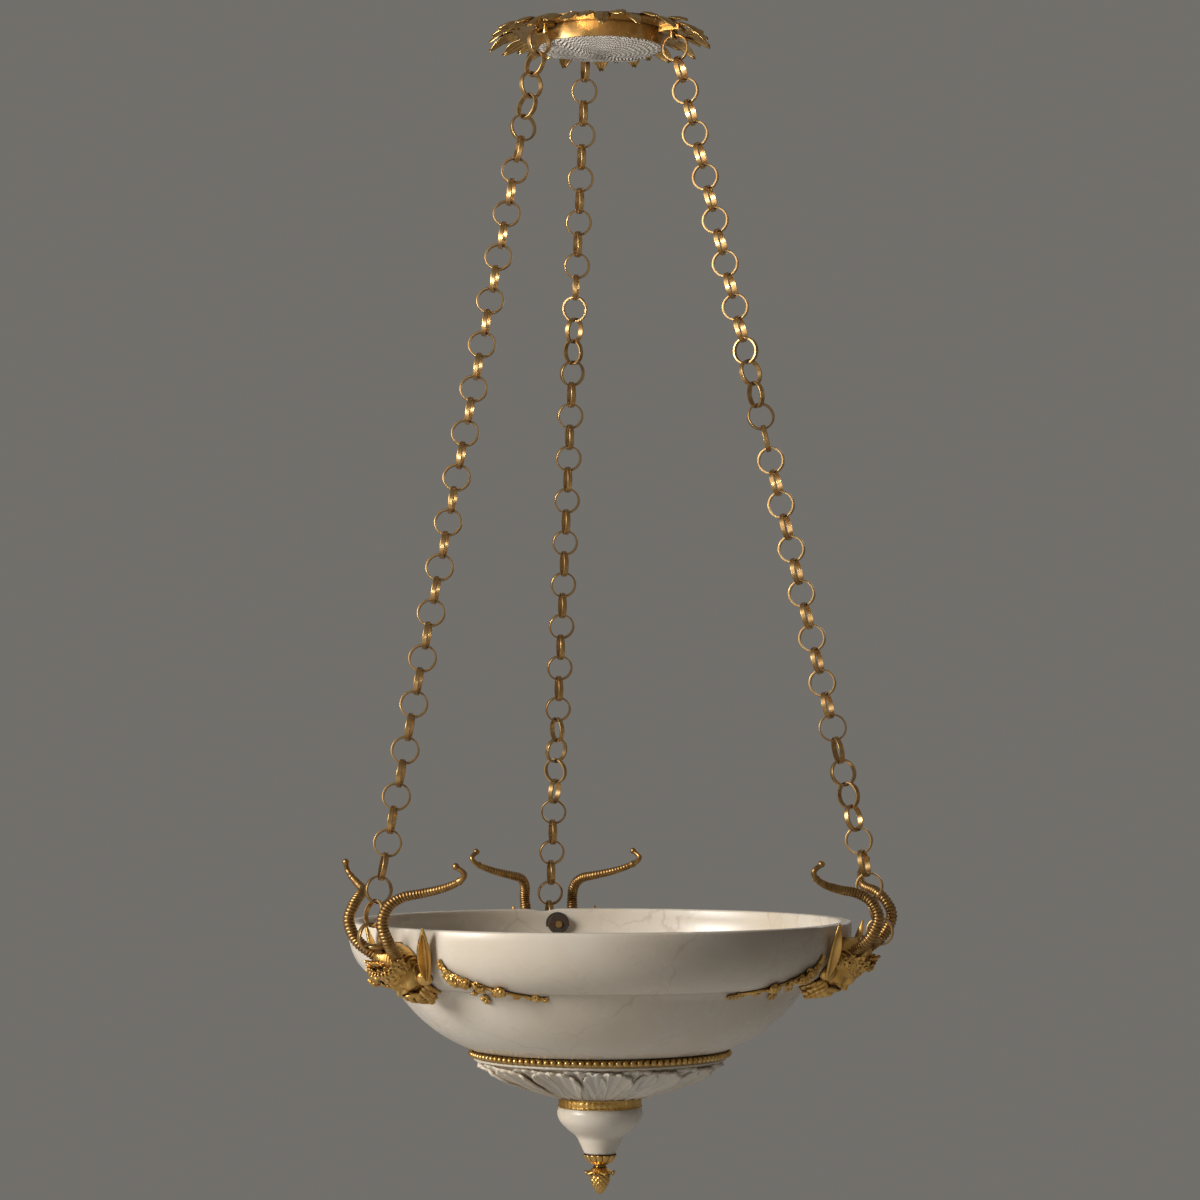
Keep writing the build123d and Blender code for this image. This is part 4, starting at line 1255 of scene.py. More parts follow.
FACE_MIDDLE = (
    Push((23, 0, 9), (7, 4, 6), (1.6, 0, 0)),
    Push((23, 0, 2), (9, 4.2, 9), (4.4, 0, 0)),
    Push((25, 0, -5.5), (10, 4.8, 5.6), (7.2, 0, -0.6)),
    Push((23, 0, -14.6), (9, 8.5, 1.9), (-2.4, 0, 0)),
    Push((23, 0, -12.0), (9, 7.5, 2.8), (2.0, 0, 0)),
    Push((22.5, 0, -17.2), (9, 6.2, 2.9), (2.6, 0, 0)),
    Push((21, 0, -25), (10, 9, 7), (4.2, 0, 0)),
)
FACE_SIDES = (
    Push((22, 8, 10), (9, 9.5, 4.6), (3.4, 0, -0.6)),
    Push((22, 9, 3.6), (9, 7.2, 5), (-4.6, 0, 0)),
    Push((23, 4.6, -7.5), (8, 3.7, 3.7), (3.2, 0.7, 0)),
    Push((19, 14, -3), (10, 9, 8), (2.8, 1.2, 0)),
    Push((21, 9.5, -10), (8, 2.6, 6.5), (-1.4, 0, 0)),
    Push((10, 21, 8), (11, 8, 9), (0, -1.6, 0)),
)


@dataclass(frozen=True)
class Clump:
    """A knot of leaves or berries on a garland, in millimetres."""

    share: float
    sink: float
    size: float
    leaves: int
    berries: int


GARLAND_CLUMPS = (
    Clump(0.015, 0.0, 4.2, 7, 2),
    Clump(0.07, 0.5, 6.2, 9, 3),
    Clump(0.15, 1.0, 9.2, 12, 4),
    Clump(0.235, 0.0, 8.2, 5, 15),
    Clump(0.245, 10.0, 4.4, 4, 6),
    Clump(0.25, 17.5, 5.6, 9, 5),
    Clump(0.36, 0.0, 6.8, 10, 3),
    Clump(0.455, 5.0, 5.0, 8, 2),
    Clump(0.57, -2.0, 8.0, 5, 17),
    Clump(0.69, 1.5, 5.0, 8, 2),
    Clump(0.79, 1.0, 4.6, 8, 2),
    Clump(0.885, 0.5, 4.6, 7, 3),
    Clump(0.975, 0.0, 3.8, 6, 3),
)


@dataclass(frozen=True)
class VineLeaf:
    """A lobed leaf with a groove along its middle, in one unit throughout."""

    name: str
    length: float
    width: float
    root: float
    blunt: float
    lobe: float
    lobes: float
    cup: float
    groove: float
    groove_width: float
    rise: float
    thickness: float
    rows: int
    columns: int = 6

    def half_width(self, share: float) -> float:
        """Half width at a share of the length."""
        body = self.width * math.sin(math.pi * (self.root + (1 - self.root) * share)) ** self.blunt
        return body * (1 + self.lobe * math.cos(share * self.lobes))

    def lift(self, share: float, across: float) -> float:
        """Height at a share of the length and of the half width."""
        groove = self.groove * math.exp(-((across / self.groove_width) ** 2))
        return self.cup * across**2 - groove + self.rise * share**2

    def pattern(self) -> bpy.types.Mesh:
        """The leaf's pattern."""
        return leaf_pattern(
            self.name, self.length, self.half_width, self.lift, self.thickness, self.rows, self.columns
        )


WREATH_LEAF = VineLeaf(
    "wreath_leaf",
    length=9.0,
    width=3.9,
    root=0.15,
    blunt=0.7,
    lobe=0.28,
    lobes=14,
    cup=0.9,
    groove=0.8,
    groove_width=0.14,
    rise=1.2,
    thickness=1.0,
    rows=8,
)
GARLAND_LEAF = VineLeaf(
    "garland_leaf",
    length=1.0,
    width=0.42,
    root=0.12,
    blunt=0.65,
    lobe=0.3,
    lobes=15.5,
    cup=0.1,
    groove=0.08,
    groove_width=0.15,
    rise=-0.12,
    thickness=0.14,
    rows=10,
)


@dataclass
class Mask:
    """A satyr's head on the bowl's wall with horns, garlands and its bolt, in millimetres.

    The horn's route gives points out from the rim, across from the mask's middle and up from the rim.
    """

    bowl: Bowl
    stand: float = -7.0
    depth: float = 35.0
    lean: float = 62.0
    head_voxel: float = 0.55
    garland_voxel: float = 0.42
    wall_gap: float = 0.2
    bolt_depth: float = 16.0
    bolt_face: float = 267.8
    bolt_room: float = 12.6
    bolt_drop: float = 4.5
    horn_route: tuple[tuple[float, float, float], ...] = (
        (14, 14, -28),
        (33, 24, -12),
        (42, 26, 7),
        (36, 27, 22),
        (24, 33, 31),
        (10, 46, 35),
        (1, 66, 40),
        (-4, 84, 47),
        (-4, 91, 54),
        (1, 86, 60),
    )
    horn_base: float = 6.2
    horn_tip: float = 2.5
    horn_knob: float = 3.4
    horn_ribs: int = 44
    horn_groove: float = 1.2
    ribbed_share: float = 0.85
    garland_start: float = 11.5
    garland_end: float = 35.0
    garland_top: float = 27.0
    garland_fall: float = 36.5
    garland_ease: float = 0.44

    @property
    def head_place(self) -> Matrix:
        """Frame of the head on the +X side: X looks out of the face and Z runs up it, in metres."""
        lean = math.radians(self.lean)
        up = Vector((math.sin(lean), 0, math.cos(lean)))
        forward = Vector((math.cos(lean), 0, -math.sin(lean)))
        middle = Vector((self.bowl.rim_radius + self.stand, 0, self.bowl.rim - self.depth))
        turn = Matrix((forward, Vector((0, 1, 0)), up)).transposed().to_4x4()
        return Matrix.Translation(middle * MM) @ turn @ Matrix.Diagonal((MM, MM, MM, 1.0))

    def skull(self) -> bmesh.types.BMesh:
        """The plain head with its brow, nose, cheeks, lips and chin, in millimetres."""
        bm = bmesh.new()
        matrix = Matrix.Translation((4, 0, 0)) @ Matrix.Diagonal((19.2, 23, 34, 1.0))
        bmesh.ops.create_uvsphere(bm, u_segments=96, v_segments=72, radius=1.0, matrix=matrix)
        for vert in bm.verts:
            below = max(0.0, -vert.co.z / 33)
            vert.co.y *= 1 - 0.36 * below**1.3
            vert.co.x += 3.0 * below
        for push in FACE_MIDDLE:
            push.apply(bm)
        for push in FACE_SIDES:
            push.apply(bm)
            push.mirrored().apply(bm)
        return bm

    def add_eyes(self, bm: bmesh.types.BMesh) -> None:
        """Add the eyeballs and their lids."""
        for hand in (-1, 1):
            add_ball(bm, Vector((16.2, hand * 9.0, 3.4)), (4.2, 4.4, 3.9), 3)
            for rise, thick in ((3.4, 1.15), (-2.6, 0.85)):
                knots = [
                    Vector((17.6, hand * 4.4, 3.0)),
                    Vector((20.6, hand * 8.6, 3.2 + rise)),
                    Vector((17.2, hand * 13.8, 3.4)),
                ]
                route = smooth_route(knots, 10)
                add_tube(bm, route, [thick] * len(route), 8, Vector((0, 0, 1)))

    @staticmethod
    def lock(bm: bmesh.types.BMesh, knots: Sequence[Vector], thick: float) -> None:
        """Add one lock of hair that tapers to its end.

        Args:
            bm: The mesh that grows.
            knots: A few points along it.
            thick: Its greatest radius.
        """
        count = 12
        route = smooth_route(knots, count)
        radii = []
        for index in range(count):
            swell = math.sin(math.pi * (0.12 + 0.8 * index / (count - 1)))
            radii.append(thick * (0.35 + swell * 0.75))
        radii[-1] = 0.25 * thick
        add_tube(bm, route, radii, 8, Vector((1, 0.2, 0.1)))

    def add_beard(self, bm: bmesh.types.BMesh) -> None:
        """Add a moustache and rows of beard locks round the jaw."""
        for hand in (-1, 1):
            for drop in (0.0, 2.2):
                knots = [
                    Vector((27.0, hand * 1.2, -10.4 - 0.4 * drop)),
                    Vector((26.0, hand * 6.0, -12.2 - drop)),
                    Vector((21.5, hand * 11.5, -16.5 - drop)),
                    Vector((19.5, hand * 13.0, -21.0 - 1.4 * drop)),
                ]
                self.lock(bm, knots, 1.7)
        add_ball(bm, Vector((10, 0, -20)), (13.0, 17.0, 15.0), 3)
        rows = ((-18.0, 18.5, 2.5, 6), (-24.0, 16.0, 2.7, 5), (-30.0, 12.0, 2.8, 4), (-36.0, 8.0, 2.7, 3))
        for row, (level, reach, thick, count) in enumerate(rows):
            add_ball(bm, Vector((12.0 - row, 0, level - 3.0)), (10.0 - row, reach * 0.8, 7.0), 3)
            for index in range(count):
                for hand in (-1, 1):
                    share = (index + 0.5) / count
                    side = reach * math.sin(share * math.pi / 2)
                    front = 9.0 + 15.0 * math.cos(share * math.pi / 2) - 2.2 * row
                    sway = 1.6 if (index + row) % 2 else -1.2
                    top = Vector((front, hand * side, level + 5.0 * share))
                    middle = Vector((front + 1.8, hand * (side + sway), level - 5.0 + 3.0 * share))
                    end = side * 0.86 - sway * 0.5
                    low = Vector((front - 0.6, hand * end, level - 10.5 + 4.0 * share))
                    self.lock(bm, [top, middle, low], thick)

    @staticmethod
    def curl(bm: bmesh.types.BMesh, place: Vector, outward: Vector, size: float) -> None:
        """Add one snail curl of hair.

        Args:
            bm: The mesh that grows.
            place: Middle of the curl.
            outward: Direction that it faces.
            size: Radius of the curl.
        """
        spin = facing(place, outward, Vector((0.1, 0.3, 1)))
        route = []
        radii = []
        last = 15
        for step in range(last + 1):
            angle = step / last * 2.6 * math.pi
            far = size * (1 - 0.72 * step / last)
            rise = size * 0.5 * step / last
            route.append(spin @ Vector((rise, far * math.cos(angle), far * math.sin(angle))))
            radii.append(size * (0.42 - 0.14 * step / last))
        add_tube(bm, route, radii, 6, outward)

    def add_hair(self, bm: bmesh.types.BMesh) -> None:
        """Curl the hair over brow and temples, and comb it back over the crown in fine strands."""
        random.seed(11)
        for level, count, spread in ((14.0, 9, 1.45), (19.0, 9, 1.4)):
            for index in range(count):
                angle = (index / (count - 1) - 0.5) * 2 * spread
                scale = math.sqrt(1 - (level / 35) ** 2)
                place = Vector((4 + 20.0 * scale * math.cos(angle), 24.0 * scale * math.sin(angle), level))
                outward = Vector((math.cos(angle), math.sin(angle), level / 60))
                self.curl(bm, place, outward, 2.8 + 0.5 * random.random())
        strands = 25
        for index in range(strands):
            side = 0.97 * (2 * index / (strands - 1) - 1)
            scale = math.sqrt(1 - side**2)
            knots = []
            for step in range(6):
                angle = math.radians(40 + 24 * step)
                height = 35.4 * scale * math.sin(angle)
                knots.append(Vector((4 + 20.3 * scale * math.cos(angle), 24.0 * side, height)))
            add_tube(bm, smooth_route(knots, 16), [1.35] * 16, 6, Vector((0, 1, 0)))

    def add_wreath(self, bm: bmesh.types.BMesh) -> None:
        """Lay a band of vine leaves and berries over the brow, with a tuft standing between the horns."""
        leaf = WREATH_LEAF.pattern()
        count = 13
        for index in range(count):
            angle = (index / (count - 1) - 0.5) * 2.6
            level = 24.5 + 0.6 * math.cos(index * 2.1)
            place = Vector((3 + 18.5 * math.cos(angle), 20.5 * math.sin(angle), level))
            outward = Vector((math.cos(angle), math.sin(angle), 0.75))
            along = Vector((-0.3 * math.cos(angle), 0.25 * math.sin(angle), 1 if index % 2 else -0.8))
            stamp(bm, leaf, facing(place, along, outward))
            for berry in range(3):
                turn = angle + 0.09 * (berry - 1) + 0.1
                height = 24.0 + 3.2 * (berry % 2)
                spot = Vector((3 + 20.8 * math.cos(turn), 22 * math.sin(turn), height))
                add_ball(bm, spot, (1.8, 1.8, 1.8), 1)
        tuft = 7
        for index in range(tuft):
            side = (index - tuft // 2) * 3.5
            size = 1.5 - 0.014 * side**2
            place = Vector((15 - 0.02 * side**2, side, 28.0))
            along = Vector((-0.05, 0.03 * side, 1))
            outward = Vector((1, 0.04 * side, 0.5))
            stamp(bm, leaf, facing(place, along, outward) @ Matrix.Scale(size, 4))
        bpy.data.meshes.remove(leaf)

    def add_ears(self, bm: bmesh.types.BMesh, place: Matrix) -> None:
        """Add the tall pointed ears, cupped and facing outwards.

        Args:
            bm: The mesh that grows, in millimetres of the head's frame.
            place: Frame of the head, in metres.
        """
        to_head = place.inverted()
        tip_out = self.bowl.rim_radius + 8.0
        for hand in (-1, 1):
            tip = to_head @ (Vector((tip_out, hand * 44.0, self.bowl.rim + 3.0)) * MM)
            foot = Vector((12.5, hand * 30.5, -8.5))
            ear = leaf_pattern(
                "ear",
                (tip - foot).length,
                lambda share: 7.0 * math.sin(math.pi * (0.1 + 0.9 * share) ** 1.1) ** 0.8 + 0.2,
                lambda share, across: (6.5 * across**2 - 1.5) * math.sin(math.pi * (0.1 + 0.85 * share)),
                2.4,
                20,
                14,
            )
            stamp(bm, ear, facing(foot, tip - foot, Vector((0.4, hand * 0.55, 0.7))))
            bpy.data.meshes.remove(ear)
            add_ball(bm, Vector((8, hand * 24.0, -7.0)), (8.0, 8.0, 9.0), 3)

    def fit_to_wall(self, bm: bmesh.types.BMesh) -> None:
        """Press the casting flat where it meets the wall and where the eye bolt sits, on the +X side."""
        level = self.bowl.rim - self.bolt_depth
        for vert in bm.verts:
            place = vert.co / MM
            depth = self.bowl.rim - place.z
            radius = math.hypot(place.x, place.y)
            wall = self.bowl.wall_radius(depth) + self.wall_gap
            if depth > 0 and radius < wall:
                place.x *= wall / radius
                place.y *= wall / radius
            if abs(place.y) < self.bolt_room and place.z > level - self.bolt_drop:
                place.x = min(place.x, self.bolt_face)
            vert.co = place * MM

    @staticmethod
    def cast(piece: bpy.types.Object, voxel: float, rounds: int) -> None:
        """Fuse the forms of a piece as one casting.

        Args:
            piece: The piece.
            voxel: Size of the finest form that stays, in millimetres.
            rounds: Rounds of smoothing.
        """
        remesh = piece.modifiers.new("casting", "REMESH")
        remesh.mode = "VOXEL"
        remesh.voxel_size = voxel * MM
        remesh.use_smooth_shade = True
        ease = piece.modifiers.new("ease", "SMOOTH")
        ease.factor = 0.4
        ease.iterations = rounds

    def build_head(self, side: Side) -> None:
        """Model the head and fit it to the wall."""
        place = self.head_place
        bm = self.skull()
        self.add_eyes(bm)
        self.add_beard(bm)
        self.add_hair(bm)
        self.add_wreath(bm)
        self.add_ears(bm, place)
        bmesh.ops.recalc_face_normals(bm, faces=bm.faces[:])
        bmesh.ops.transform(bm, matrix=place, verts=bm.verts[:])
        self.fit_to_wall(bm)
        bmesh.ops.transform(bm, matrix=side.turn, verts=bm.verts[:])
        piece = add_object(f"{side.label}_mask", bm, finishes.gilt)
        self.cast(piece, self.head_voxel, 2)
        mount(piece, "bowl", "gilt_bronze", f"mask_{side.label}_head")

    def horn_radius(self, share: float) -> float:
        """Radius of a horn, with its ribs, at a share of its length."""
        plain = self.horn_tip + (self.horn_base - self.horn_tip) * (1 - share**1.7)
        if share < self.ribbed_share:
            groove = 1 - abs(math.sin(math.pi * self.horn_ribs * share / self.ribbed_share))
            return plain - self.horn_groove * groove**1.4 * plain / self.horn_base
        collar = math.exp(-(((share - self.ribbed_share - 0.025) / 0.012) ** 2))
        return 0.9 * plain + 0.7 * collar

    def build_horn(self, side: Side, hand: Hand) -> None:
        """Make one ribbed horn with its hooked end and knob."""
        rim = self.bowl.rim
        out = self.bowl.rim_radius
        knots = []
        for reach, across, up in self.horn_route:
            knots.append(Vector((out + reach, hand.value * across, rim + up)) * MM)
        route = smooth_route(knots, 12 * self.horn_ribs)
        lengths = [0.0]
        for before, after in zip(route, route[1:]):
            lengths.append(lengths[-1] + (after - before).length)
        radii = [self.horn_radius(length / lengths[-1]) * MM for length in lengths]
        bm = bmesh.new()
        add_tube(bm, route, radii, 18, Vector((0.8, 0.2 * hand.value, -0.55)))
        along = (route[-1] - route[-3]).normalized()
        add_ball(bm, route[-1] + along * 1.2 * MM, [self.horn_knob * MM] * 3, 3)
        tidy(bm)
        bmesh.ops.transform(bm, matrix=side.turn, verts=bm.verts[:])
        piece = add_object(f"{side.label}_mask_{hand.label}_horn", bm, finishes.horn)
        mount(piece, "bowl", "horn_bronze", f"mask_{side.label}_{hand.label}_horn")

    def garland_point(self, share: float, stand: float, sink: float = 0.0) -> tuple[Vector, Vector]:
        """A point over the wall along a garland, on the +Y side of a mask at +X.

        Args:
            share: Share of the way along.
            stand: Distance out from the wall.
            sink: Distance below the garland's line.

        Returns:
            The point and the direction out of the wall.
        """
        angle = math.radians(self.garland_start + (self.garland_end - self.garland_start) * share)
        depth = self.garland_top + self.garland_fall * share**self.garland_ease + sink
        radius = self.bowl.wall_radius(depth)
        slope = (self.bowl.wall_radius(depth - 1.5) - self.bowl.wall_radius(depth + 1.5)) / 3
        out = Vector((math.cos(angle), math.sin(angle), -min(slope, 1.6))).normalized()
        return around(radius, angle, self.bowl.rim - depth) + out * stand, out

    def add_clump(self, bm: bmesh.types.BMesh, leaf: bpy.types.Mesh, clump: Clump) -> None:
        """Add a knot of leaves and berries to a garland.

        Args:
            bm: The mesh that grows, in millimetres.
            leaf: A leaf of length 1.
            clump: Place and make-up of the knot.
        """
        place, out = self.garland_point(clump.share, 1.2, clump.sink)
        ahead, _ = self.garland_point(clump.share + 0.03, 1.2, clump.sink)
        along = (ahead - place).normalized()
        across = out.cross(along).normalized()
        size = clump.size
        add_ball(bm, place + out * 0.15 * size, (0.55 * size,) * 3, 2)
        for index in range(clump.leaves):
            angle = 2.4 * index + random.uniform(-0.3, 0.3)
            way = along * math.cos(angle) + across * math.sin(angle)
            root = place + out * size * random.uniform(0.3, 0.55) + way * 0.1 * size
            tilt = way + out * random.uniform(-0.3, 0.15)
            scale = Matrix.Scale(size * random.uniform(0.85, 1.15), 4)
            stamp(bm, leaf, facing(root, tilt, out) @ scale)
        for index in range(clump.berries):
            angle = 2.4 * index
            far = 0.68 * math.sqrt((index + 0.5) / clump.berries)
            way = along * math.cos(angle) + across * math.sin(angle)
            spot = place + way * far * size + out * size * 0.72 * math.sqrt(1 - far**2)
            berry = 0.17 * size + 0.45
            add_ball(bm, spot, (berry,) * 3, 2)

    def build_garland(self, side: Side, hand: Hand) -> None:
        """Lay a stem with clumps of leaves and berries along the wall beside the mask."""
        random.seed(3 if hand is Hand.RIGHT else 4)
        leaf = GARLAND_LEAF.pattern()
        bm = bmesh.new()
        spans = 24
        core = [self.garland_point(index / spans, 1.8)[0] for index in range(spans + 1)]
        radii = [2.4 - 0.9 * index / spans for index in range(spans + 1)]
        add_tube(bm, core, radii, 10, Vector((0.92, 0.39, 0)))
        for clump in GARLAND_CLUMPS:
            self.add_clump(bm, leaf, clump)
        bpy.data.meshes.remove(leaf)
        bmesh.ops.scale(bm, vec=(MM, hand.value * MM, MM), verts=bm.verts[:])
        bmesh.ops.recalc_face_normals(bm, faces=bm.faces[:])
        bmesh.ops.transform(bm, matrix=side.turn, verts=bm.verts[:])
        piece = add_object(f"{side.label}_mask_{hand.label}_garland", bm, finishes.gilt)
        self.cast(piece, self.garland_voxel, 1)
        mount(piece, "bowl", "gilt_bronze", f"mask_{side.label}_{hand.label}_garland")

    def build(self, side: Side) -> None:
        """Make the mask of one side."""
        self.build_head(side)
        for hand in Hand:
            self.build_horn(side, hand)
            self.build_garland(side, hand)
        dress(finishes.chain, f"mask_{side.label}_eye_bolt")
        dress(finishes.iron, f"mask_{side.label}_nut", f"mask_{side.label}_washer")


# Crown


@dataclass
class Crown:
    """The crown: hoop, spider, two rows of leaves and the knit lining, in millimetres."""

    leaves: int = 18
    flange_radius: float = 88.0
    leaf_width: float = 17.5
    leaf_root: float = 4.0
    leaf_thickness: float = 0.7
    lower_length: float = 26.0
    upper_length: float = 22.0
    lower_droop: float = 12.5
    upper_droop: float = 5.0
    ring_inner: float = 82.5
    ring_gap: float = 1.4
    ring_sheet: float = 0.8
    root_lift: float = 0.3
    lining_radius: float = 62.1
    lining_edge: float = 1.0
    lining_sag: float = 7.0
    lining_hem: float = 4.0
    yarn_thickness: float = 1.2
    pucker_start: float = 0.8
    fold_start: float = -3.0
    fold_slope: float = 0.66
    fold_width: float = 1.7
    fold_height: float = 5.5
    roll_offset: float = 6.0
    roll_width: float = 5.5
    roll_depth: float = 3.0
    dip_start: float = -30.0
    dip_slope: float = 0.2
    dip_width: float = 6.0
    dip_depth: float = 1.4

    def leaf(self, length: float, droop: float, curl: float) -> bpy.types.Mesh:
        """One ribbed leaf with a curled tip.

        Args:
            length: Length past the ring.
            droop: How far its middle bends down.
            curl: How far its tip turns.

        Returns:
            The pattern, in metres.
        """
        whole = length + self.leaf_root

        def half_width(share: float) -> float:
            """Half width of the leaf."""
            body = 0.68 + 0.32 * math.sin(math.pi * min(1.0, share * 1.1))
            return self.leaf_width / 2 * body * min(1.0, (1.03 - share) / 0.28) ** 0.55 * MM

        def lift(share: float, across: float) -> float:
            """Height of the leaf."""
            flute = 0.5 * math.cos(across * 3.2 * math.pi) * min(1.0, share * 3)
            bend = 1.5 * math.sin(math.pi * min(1.0, share * 1.2)) - droop * share**1.7
            return (bend + flute - 1.6 * across**2 - curl * max(0.0, share - 0.7) ** 2 * 12) * MM

        return leaf_pattern("crown_leaf", whole * MM, half_width, lift, self.leaf_thickness * MM, 14, 12)

    def build_row(self, name: str, node: str, length: float, start: float, droop: float, seed: int) -> None:
        """Make one sheet ring with its leaves, each bent a little differently.

        Args:
            name: Name of the piece.
            node: The solid it stands for.
            length: Length of its leaves.
            start: Place of the first leaf, in leaf spacings.
            droop: How far the tips hang below the ring, on average.
            seed: Seed of the bends.
        """
        random.seed(seed)
        base = self.ring_level(node)
        top = base + self.ring_sheet
        outer = self.flange_radius - self.ring_gap
        bm = turned([(self.ring_inner, base), (outer, base), (outer, top), (self.ring_inner, top)], 90)
        for index in range(self.leaves):
            pattern = self.leaf(length, droop + random.uniform(-2.5, 2.5), random.uniform(0.2, 1.8))
            angle = TURN * (index + start + random.uniform(-0.06, 0.06)) / self.leaves
            twist = Matrix.Rotation(random.uniform(-0.22, 0.22), 4, "X")
            tip = Matrix.Rotation(random.uniform(-0.08, 0.1), 4, "Y")
            root = self.flange_radius - self.leaf_root - 0.6
            foot = Matrix.Translation(Vector((root, 0, base + self.root_lift)) * MM)
            stamp(bm, pattern, Matrix.Rotation(angle, 4, "Z") @ foot @ twist @ tip)
            bpy.data.meshes.remove(pattern)
        mount(add_object(name, bm, finishes.leaf), "crown", "gilt_bronze", node)

    def ring_level(self, node: str) -> float:
        """Level of the underside of a leaf ring, from the flange that carries it."""
        flange = high_of("crown_hoop").z
        return flange if node.endswith("lower") else flange + self.ring_sheet

    def build_lining(self) -> None:
        """Gather the knit lining to the wire, with its sag, a long fold, a dip and puckers at the edge."""
        top = high_of("crown_lining").z
        bm = bmesh.new()
        rings = 64
        bmesh.ops.create_circle(bm, cap_ends=False, segments=160, radius=self.lining_radius * MM)
        edges = bm.edges[:]
        for ring in range(rings - 1):
            verts, edges = extrude_ring(bm, edges)
            left = rings - ring - 1
            bmesh.ops.scale(bm, vec=(left / (left + 1), left / (left + 1), 1), verts=verts)
        bmesh.ops.contextual_create(bm, geom=edges)
        for vert in bm.verts:
            flat = Vector((vert.co.x, vert.co.y)) / MM
            share = flat.length / self.lining_radius
            angle = math.atan2(flat.y, flat.x)
            level = top - self.lining_edge - self.lining_sag * (1 - share**2)
            pucker = max(0.0, share - self.pucker_start) / (1 - self.pucker_start)
            level += pucker * (1.1 * abs(math.sin(angle * 17)) + 0.5 * math.sin(angle * 7) - 0.6)
            off = flat.y - (self.fold_start + self.fold_slope * flat.x)
            fold = math.exp(-((off / self.fold_width) ** 2))
            roll = math.exp(-(((off - self.roll_offset) / self.roll_width) ** 2))
            level += (self.fold_height * fold - self.roll_depth * roll) * (1 - share**6)
            off = flat.y - (self.dip_start + self.dip_slope * flat.x)
            dip = math.exp(-((off / self.dip_width) ** 2))
            level -= self.dip_depth * dip * (1 - share**4)
            level += 0.8 * noise.noise(vert.co * 60)
            vert.co.z = level * MM
        bmesh.ops.recalc_face_normals(bm, faces=bm.faces[:])
        piece = add_object("knit_lining", bm, finishes.knit)
        solid = piece.modifiers.new("yarn_thickness", "SOLIDIFY")
        solid.thickness = self.yarn_thickness * MM
        solid.offset = 0.0
        mount(piece, "crown", "lining", "crown_lining")

    @staticmethod
    def area(piece: bpy.types.Object) -> float:
        """Area of a piece's own mesh, in square metres."""
        return sum(face.area for face in piece.data.polygons)

    def build(self) -> None:
        """Make the leaves and the lining, and dress the metal that stays."""
        self.build_row("lower_leaves", "crown_leaves_lower", self.lower_length, 0.0, self.lower_droop, 21)
        self.build_row("upper_leaves", "crown_leaves_upper", self.upper_length, 0.5, self.upper_droop, 22)
        self.build_lining()
        dress(finishes.leaf, "crown_hoop", "crown_spider", "crown_rivets", "lining_ring")
        dress(finishes.leaf, *[f"crown_staple_{side.label}" for side in Side])


class Chains:
    """The three chains of flat rings, which keep their solids."""

    def build(self) -> None:
        """Dress the rings."""
        for side in Side:
            chain = f"chain_{side.label}"
            dress(finishes.chain, f"{chain}_top_ring", chain, f"{chain}_bottom_ring")


class Fittings:
    """Bolts and nuts on the axis."""

    def build(self) -> None:
        """Dress the fittings that keep their solids."""
        dress(finishes.iron, "ceiling_eye", "ceiling_eye_nut", "ceiling_eye_washer")
        dress(finishes.iron, "tie_rod", "tie_rod_nut", "tie_rod_washer")


# Studio


@dataclass(frozen=True)
class Lamp:
    """A soft square lamp in metres, watts and degrees, with the blue share of its colour."""

    name: str
    place: tuple[float, float, float]
    target: tuple[float, float, float]
    size: float
    power: float
    blue: float
    beam: float = 180.0

    def add(self) -> None:
        """Hang the lamp, pointing at its target."""
        data = bpy.data.lights.new(self.name, "AREA")
        data.size = self.size
        data.energy = self.power
        data.color = (1.0, 0.5 + 0.5 * self.blue, self.blue)
        data.spread = math.radians(self.beam)
        made = bpy.data.objects.new(self.name, data)
        made.location = self.place
        look = Vector(self.target) - Vector(self.place)
        made.rotation_euler = look.to_track_quat("-Z", "Y").to_euler()
        bpy.context.scene.collection.objects.link(made)


MIDDLE = (0.0, 0.0, -0.7)
LAMPS = (
    Lamp("key", (-3.05, -0.95, 0.3), MIDDLE, size=1.4, power=125.0, blue=0.93),
    Lamp("fill", (2.6, -1.9, -0.3), MIDDLE, size=1.8, power=1.5, blue=1.0),
    Lamp("back", (1.6, 2.4, 0.2), MIDDLE, size=1.4, power=4.0, blue=0.96),
    Lamp("under_crown", (-0.9, -1.2, -0.7), (0.0, 0.0, 0.0), size=0.4, power=1.7, blue=0.93, beam=40.0),
)


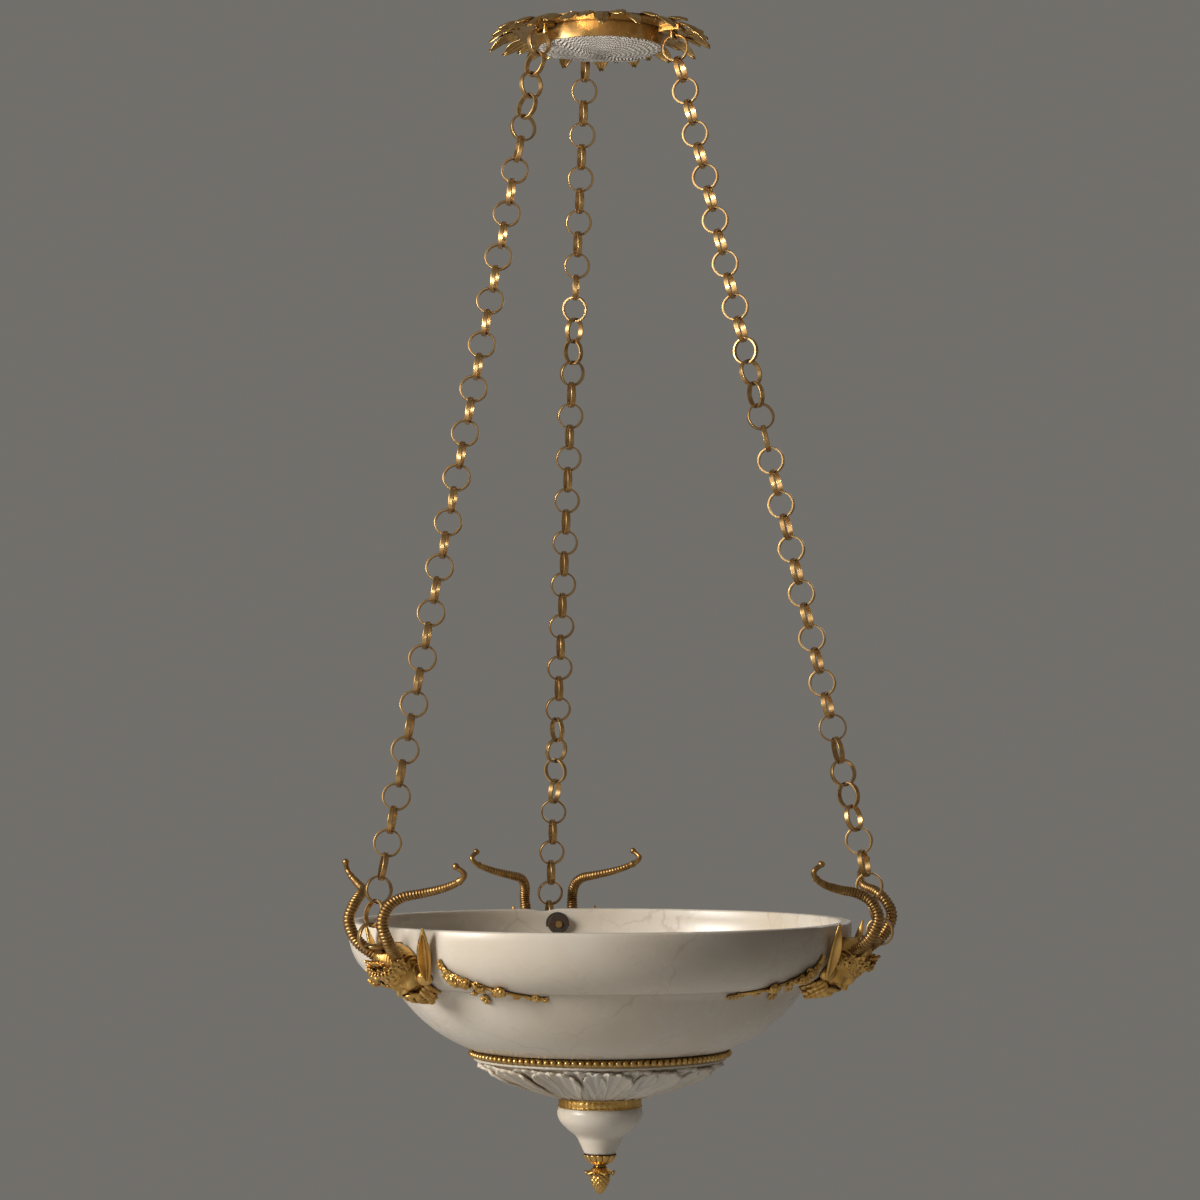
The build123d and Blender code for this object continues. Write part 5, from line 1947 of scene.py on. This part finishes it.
@dataclass
class Studio:
    """Floor, light, background and camera."""

    eye_distance: float = 3.35
    eye_level: float = -0.732
    eye_azimuth: float = -11.0
    tilt: float = 2.58
    lens: float = 100.5
    floor_level: float = -1.55
    floor_radius: float = 2.3
    pale: Colour = (0.66, 0.65, 0.63, 1.0)
    dull: Colour = (0.62, 0.61, 0.59, 1.0)
    backdrop: Colour = (0.168, 0.16, 0.147, 1.0)
    ambient: Colour = (0.04, 0.04, 0.04, 1.0)

    def build_camera(self) -> None:
        """Stand the camera where the picture was taken from."""
        data = bpy.data.cameras.new("camera")
        data.lens = self.lens
        data.sensor_width = 36.0
        made = bpy.data.objects.new("camera", data)
        turn = math.radians(self.eye_azimuth)
        made.location = (
            math.sin(turn) * self.eye_distance,
            -math.cos(turn) * self.eye_distance,
            self.eye_level,
        )
        made.rotation_euler = (math.radians(90 + self.tilt), 0, turn)
        bpy.context.scene.collection.objects.link(made)
        bpy.context.scene.camera = made

    def build_floor(self) -> None:
        """Lay the pale floor under the object."""
        bm = bmesh.new()
        level = Matrix.Translation((0, 0, self.floor_level))
        bmesh.ops.create_circle(bm, cap_ends=True, segments=96, radius=self.floor_radius, matrix=level)
        made, graph, shader = start_material("pale_floor")
        clouds = graph.group(effects.mottle, {"Place": graph.object_place(), "Scale": 3.0, "Contrast": 0.5})
        graph.feed(shader, {"Base Color": graph.mix(clouds, self.dull, self.pale), "Roughness": 0.8})
        add_object("floor", bm, made)

    def build_world(self) -> None:
        """Give the camera and reflections a grey background, and the rest a little soft light."""
        world = bpy.data.worlds.new("studio")
        world.use_nodes = True
        bpy.context.scene.world = world
        graph = Graph(world.node_tree)
        path = graph.node("ShaderNodeLightPath")
        seen = graph.math("MAXIMUM", path.outputs["Is Camera Ray"], path.outputs["Is Glossy Ray"])
        shown = graph.math("MAXIMUM", seen, path.outputs["Is Transmission Ray"])
        colour = graph.mix(shown, self.ambient, self.backdrop)
        light = graph.node("ShaderNodeBackground", {"Color": colour, "Strength": 1.0})
        graph.node("ShaderNodeOutputWorld", {"Surface": light.outputs[0]})

    def build(self) -> None:
        """Set up the studio."""
        self.build_camera()
        self.build_floor()
        for lamp in LAMPS:
            lamp.add()
        self.build_world()
        bpy.context.scene.view_settings.view_transform = "Standard"


def main() -> None:
    """Build the object's parts in order, then the studio."""
    logging.basicConfig(level=logging.INFO, format="%(message)s")
    Studio().build()
    bowl = Bowl()
    bowl.build()
    BeadRing().build()
    CarvedBase().build()
    Drop().build()
    PineCone().build()
    mask = Mask(bowl)
    for side in Side:
        mask.build(side)
    Chains().build()
    Crown().build()
    Fittings().build()


if __name__ == "__main__":
    main()
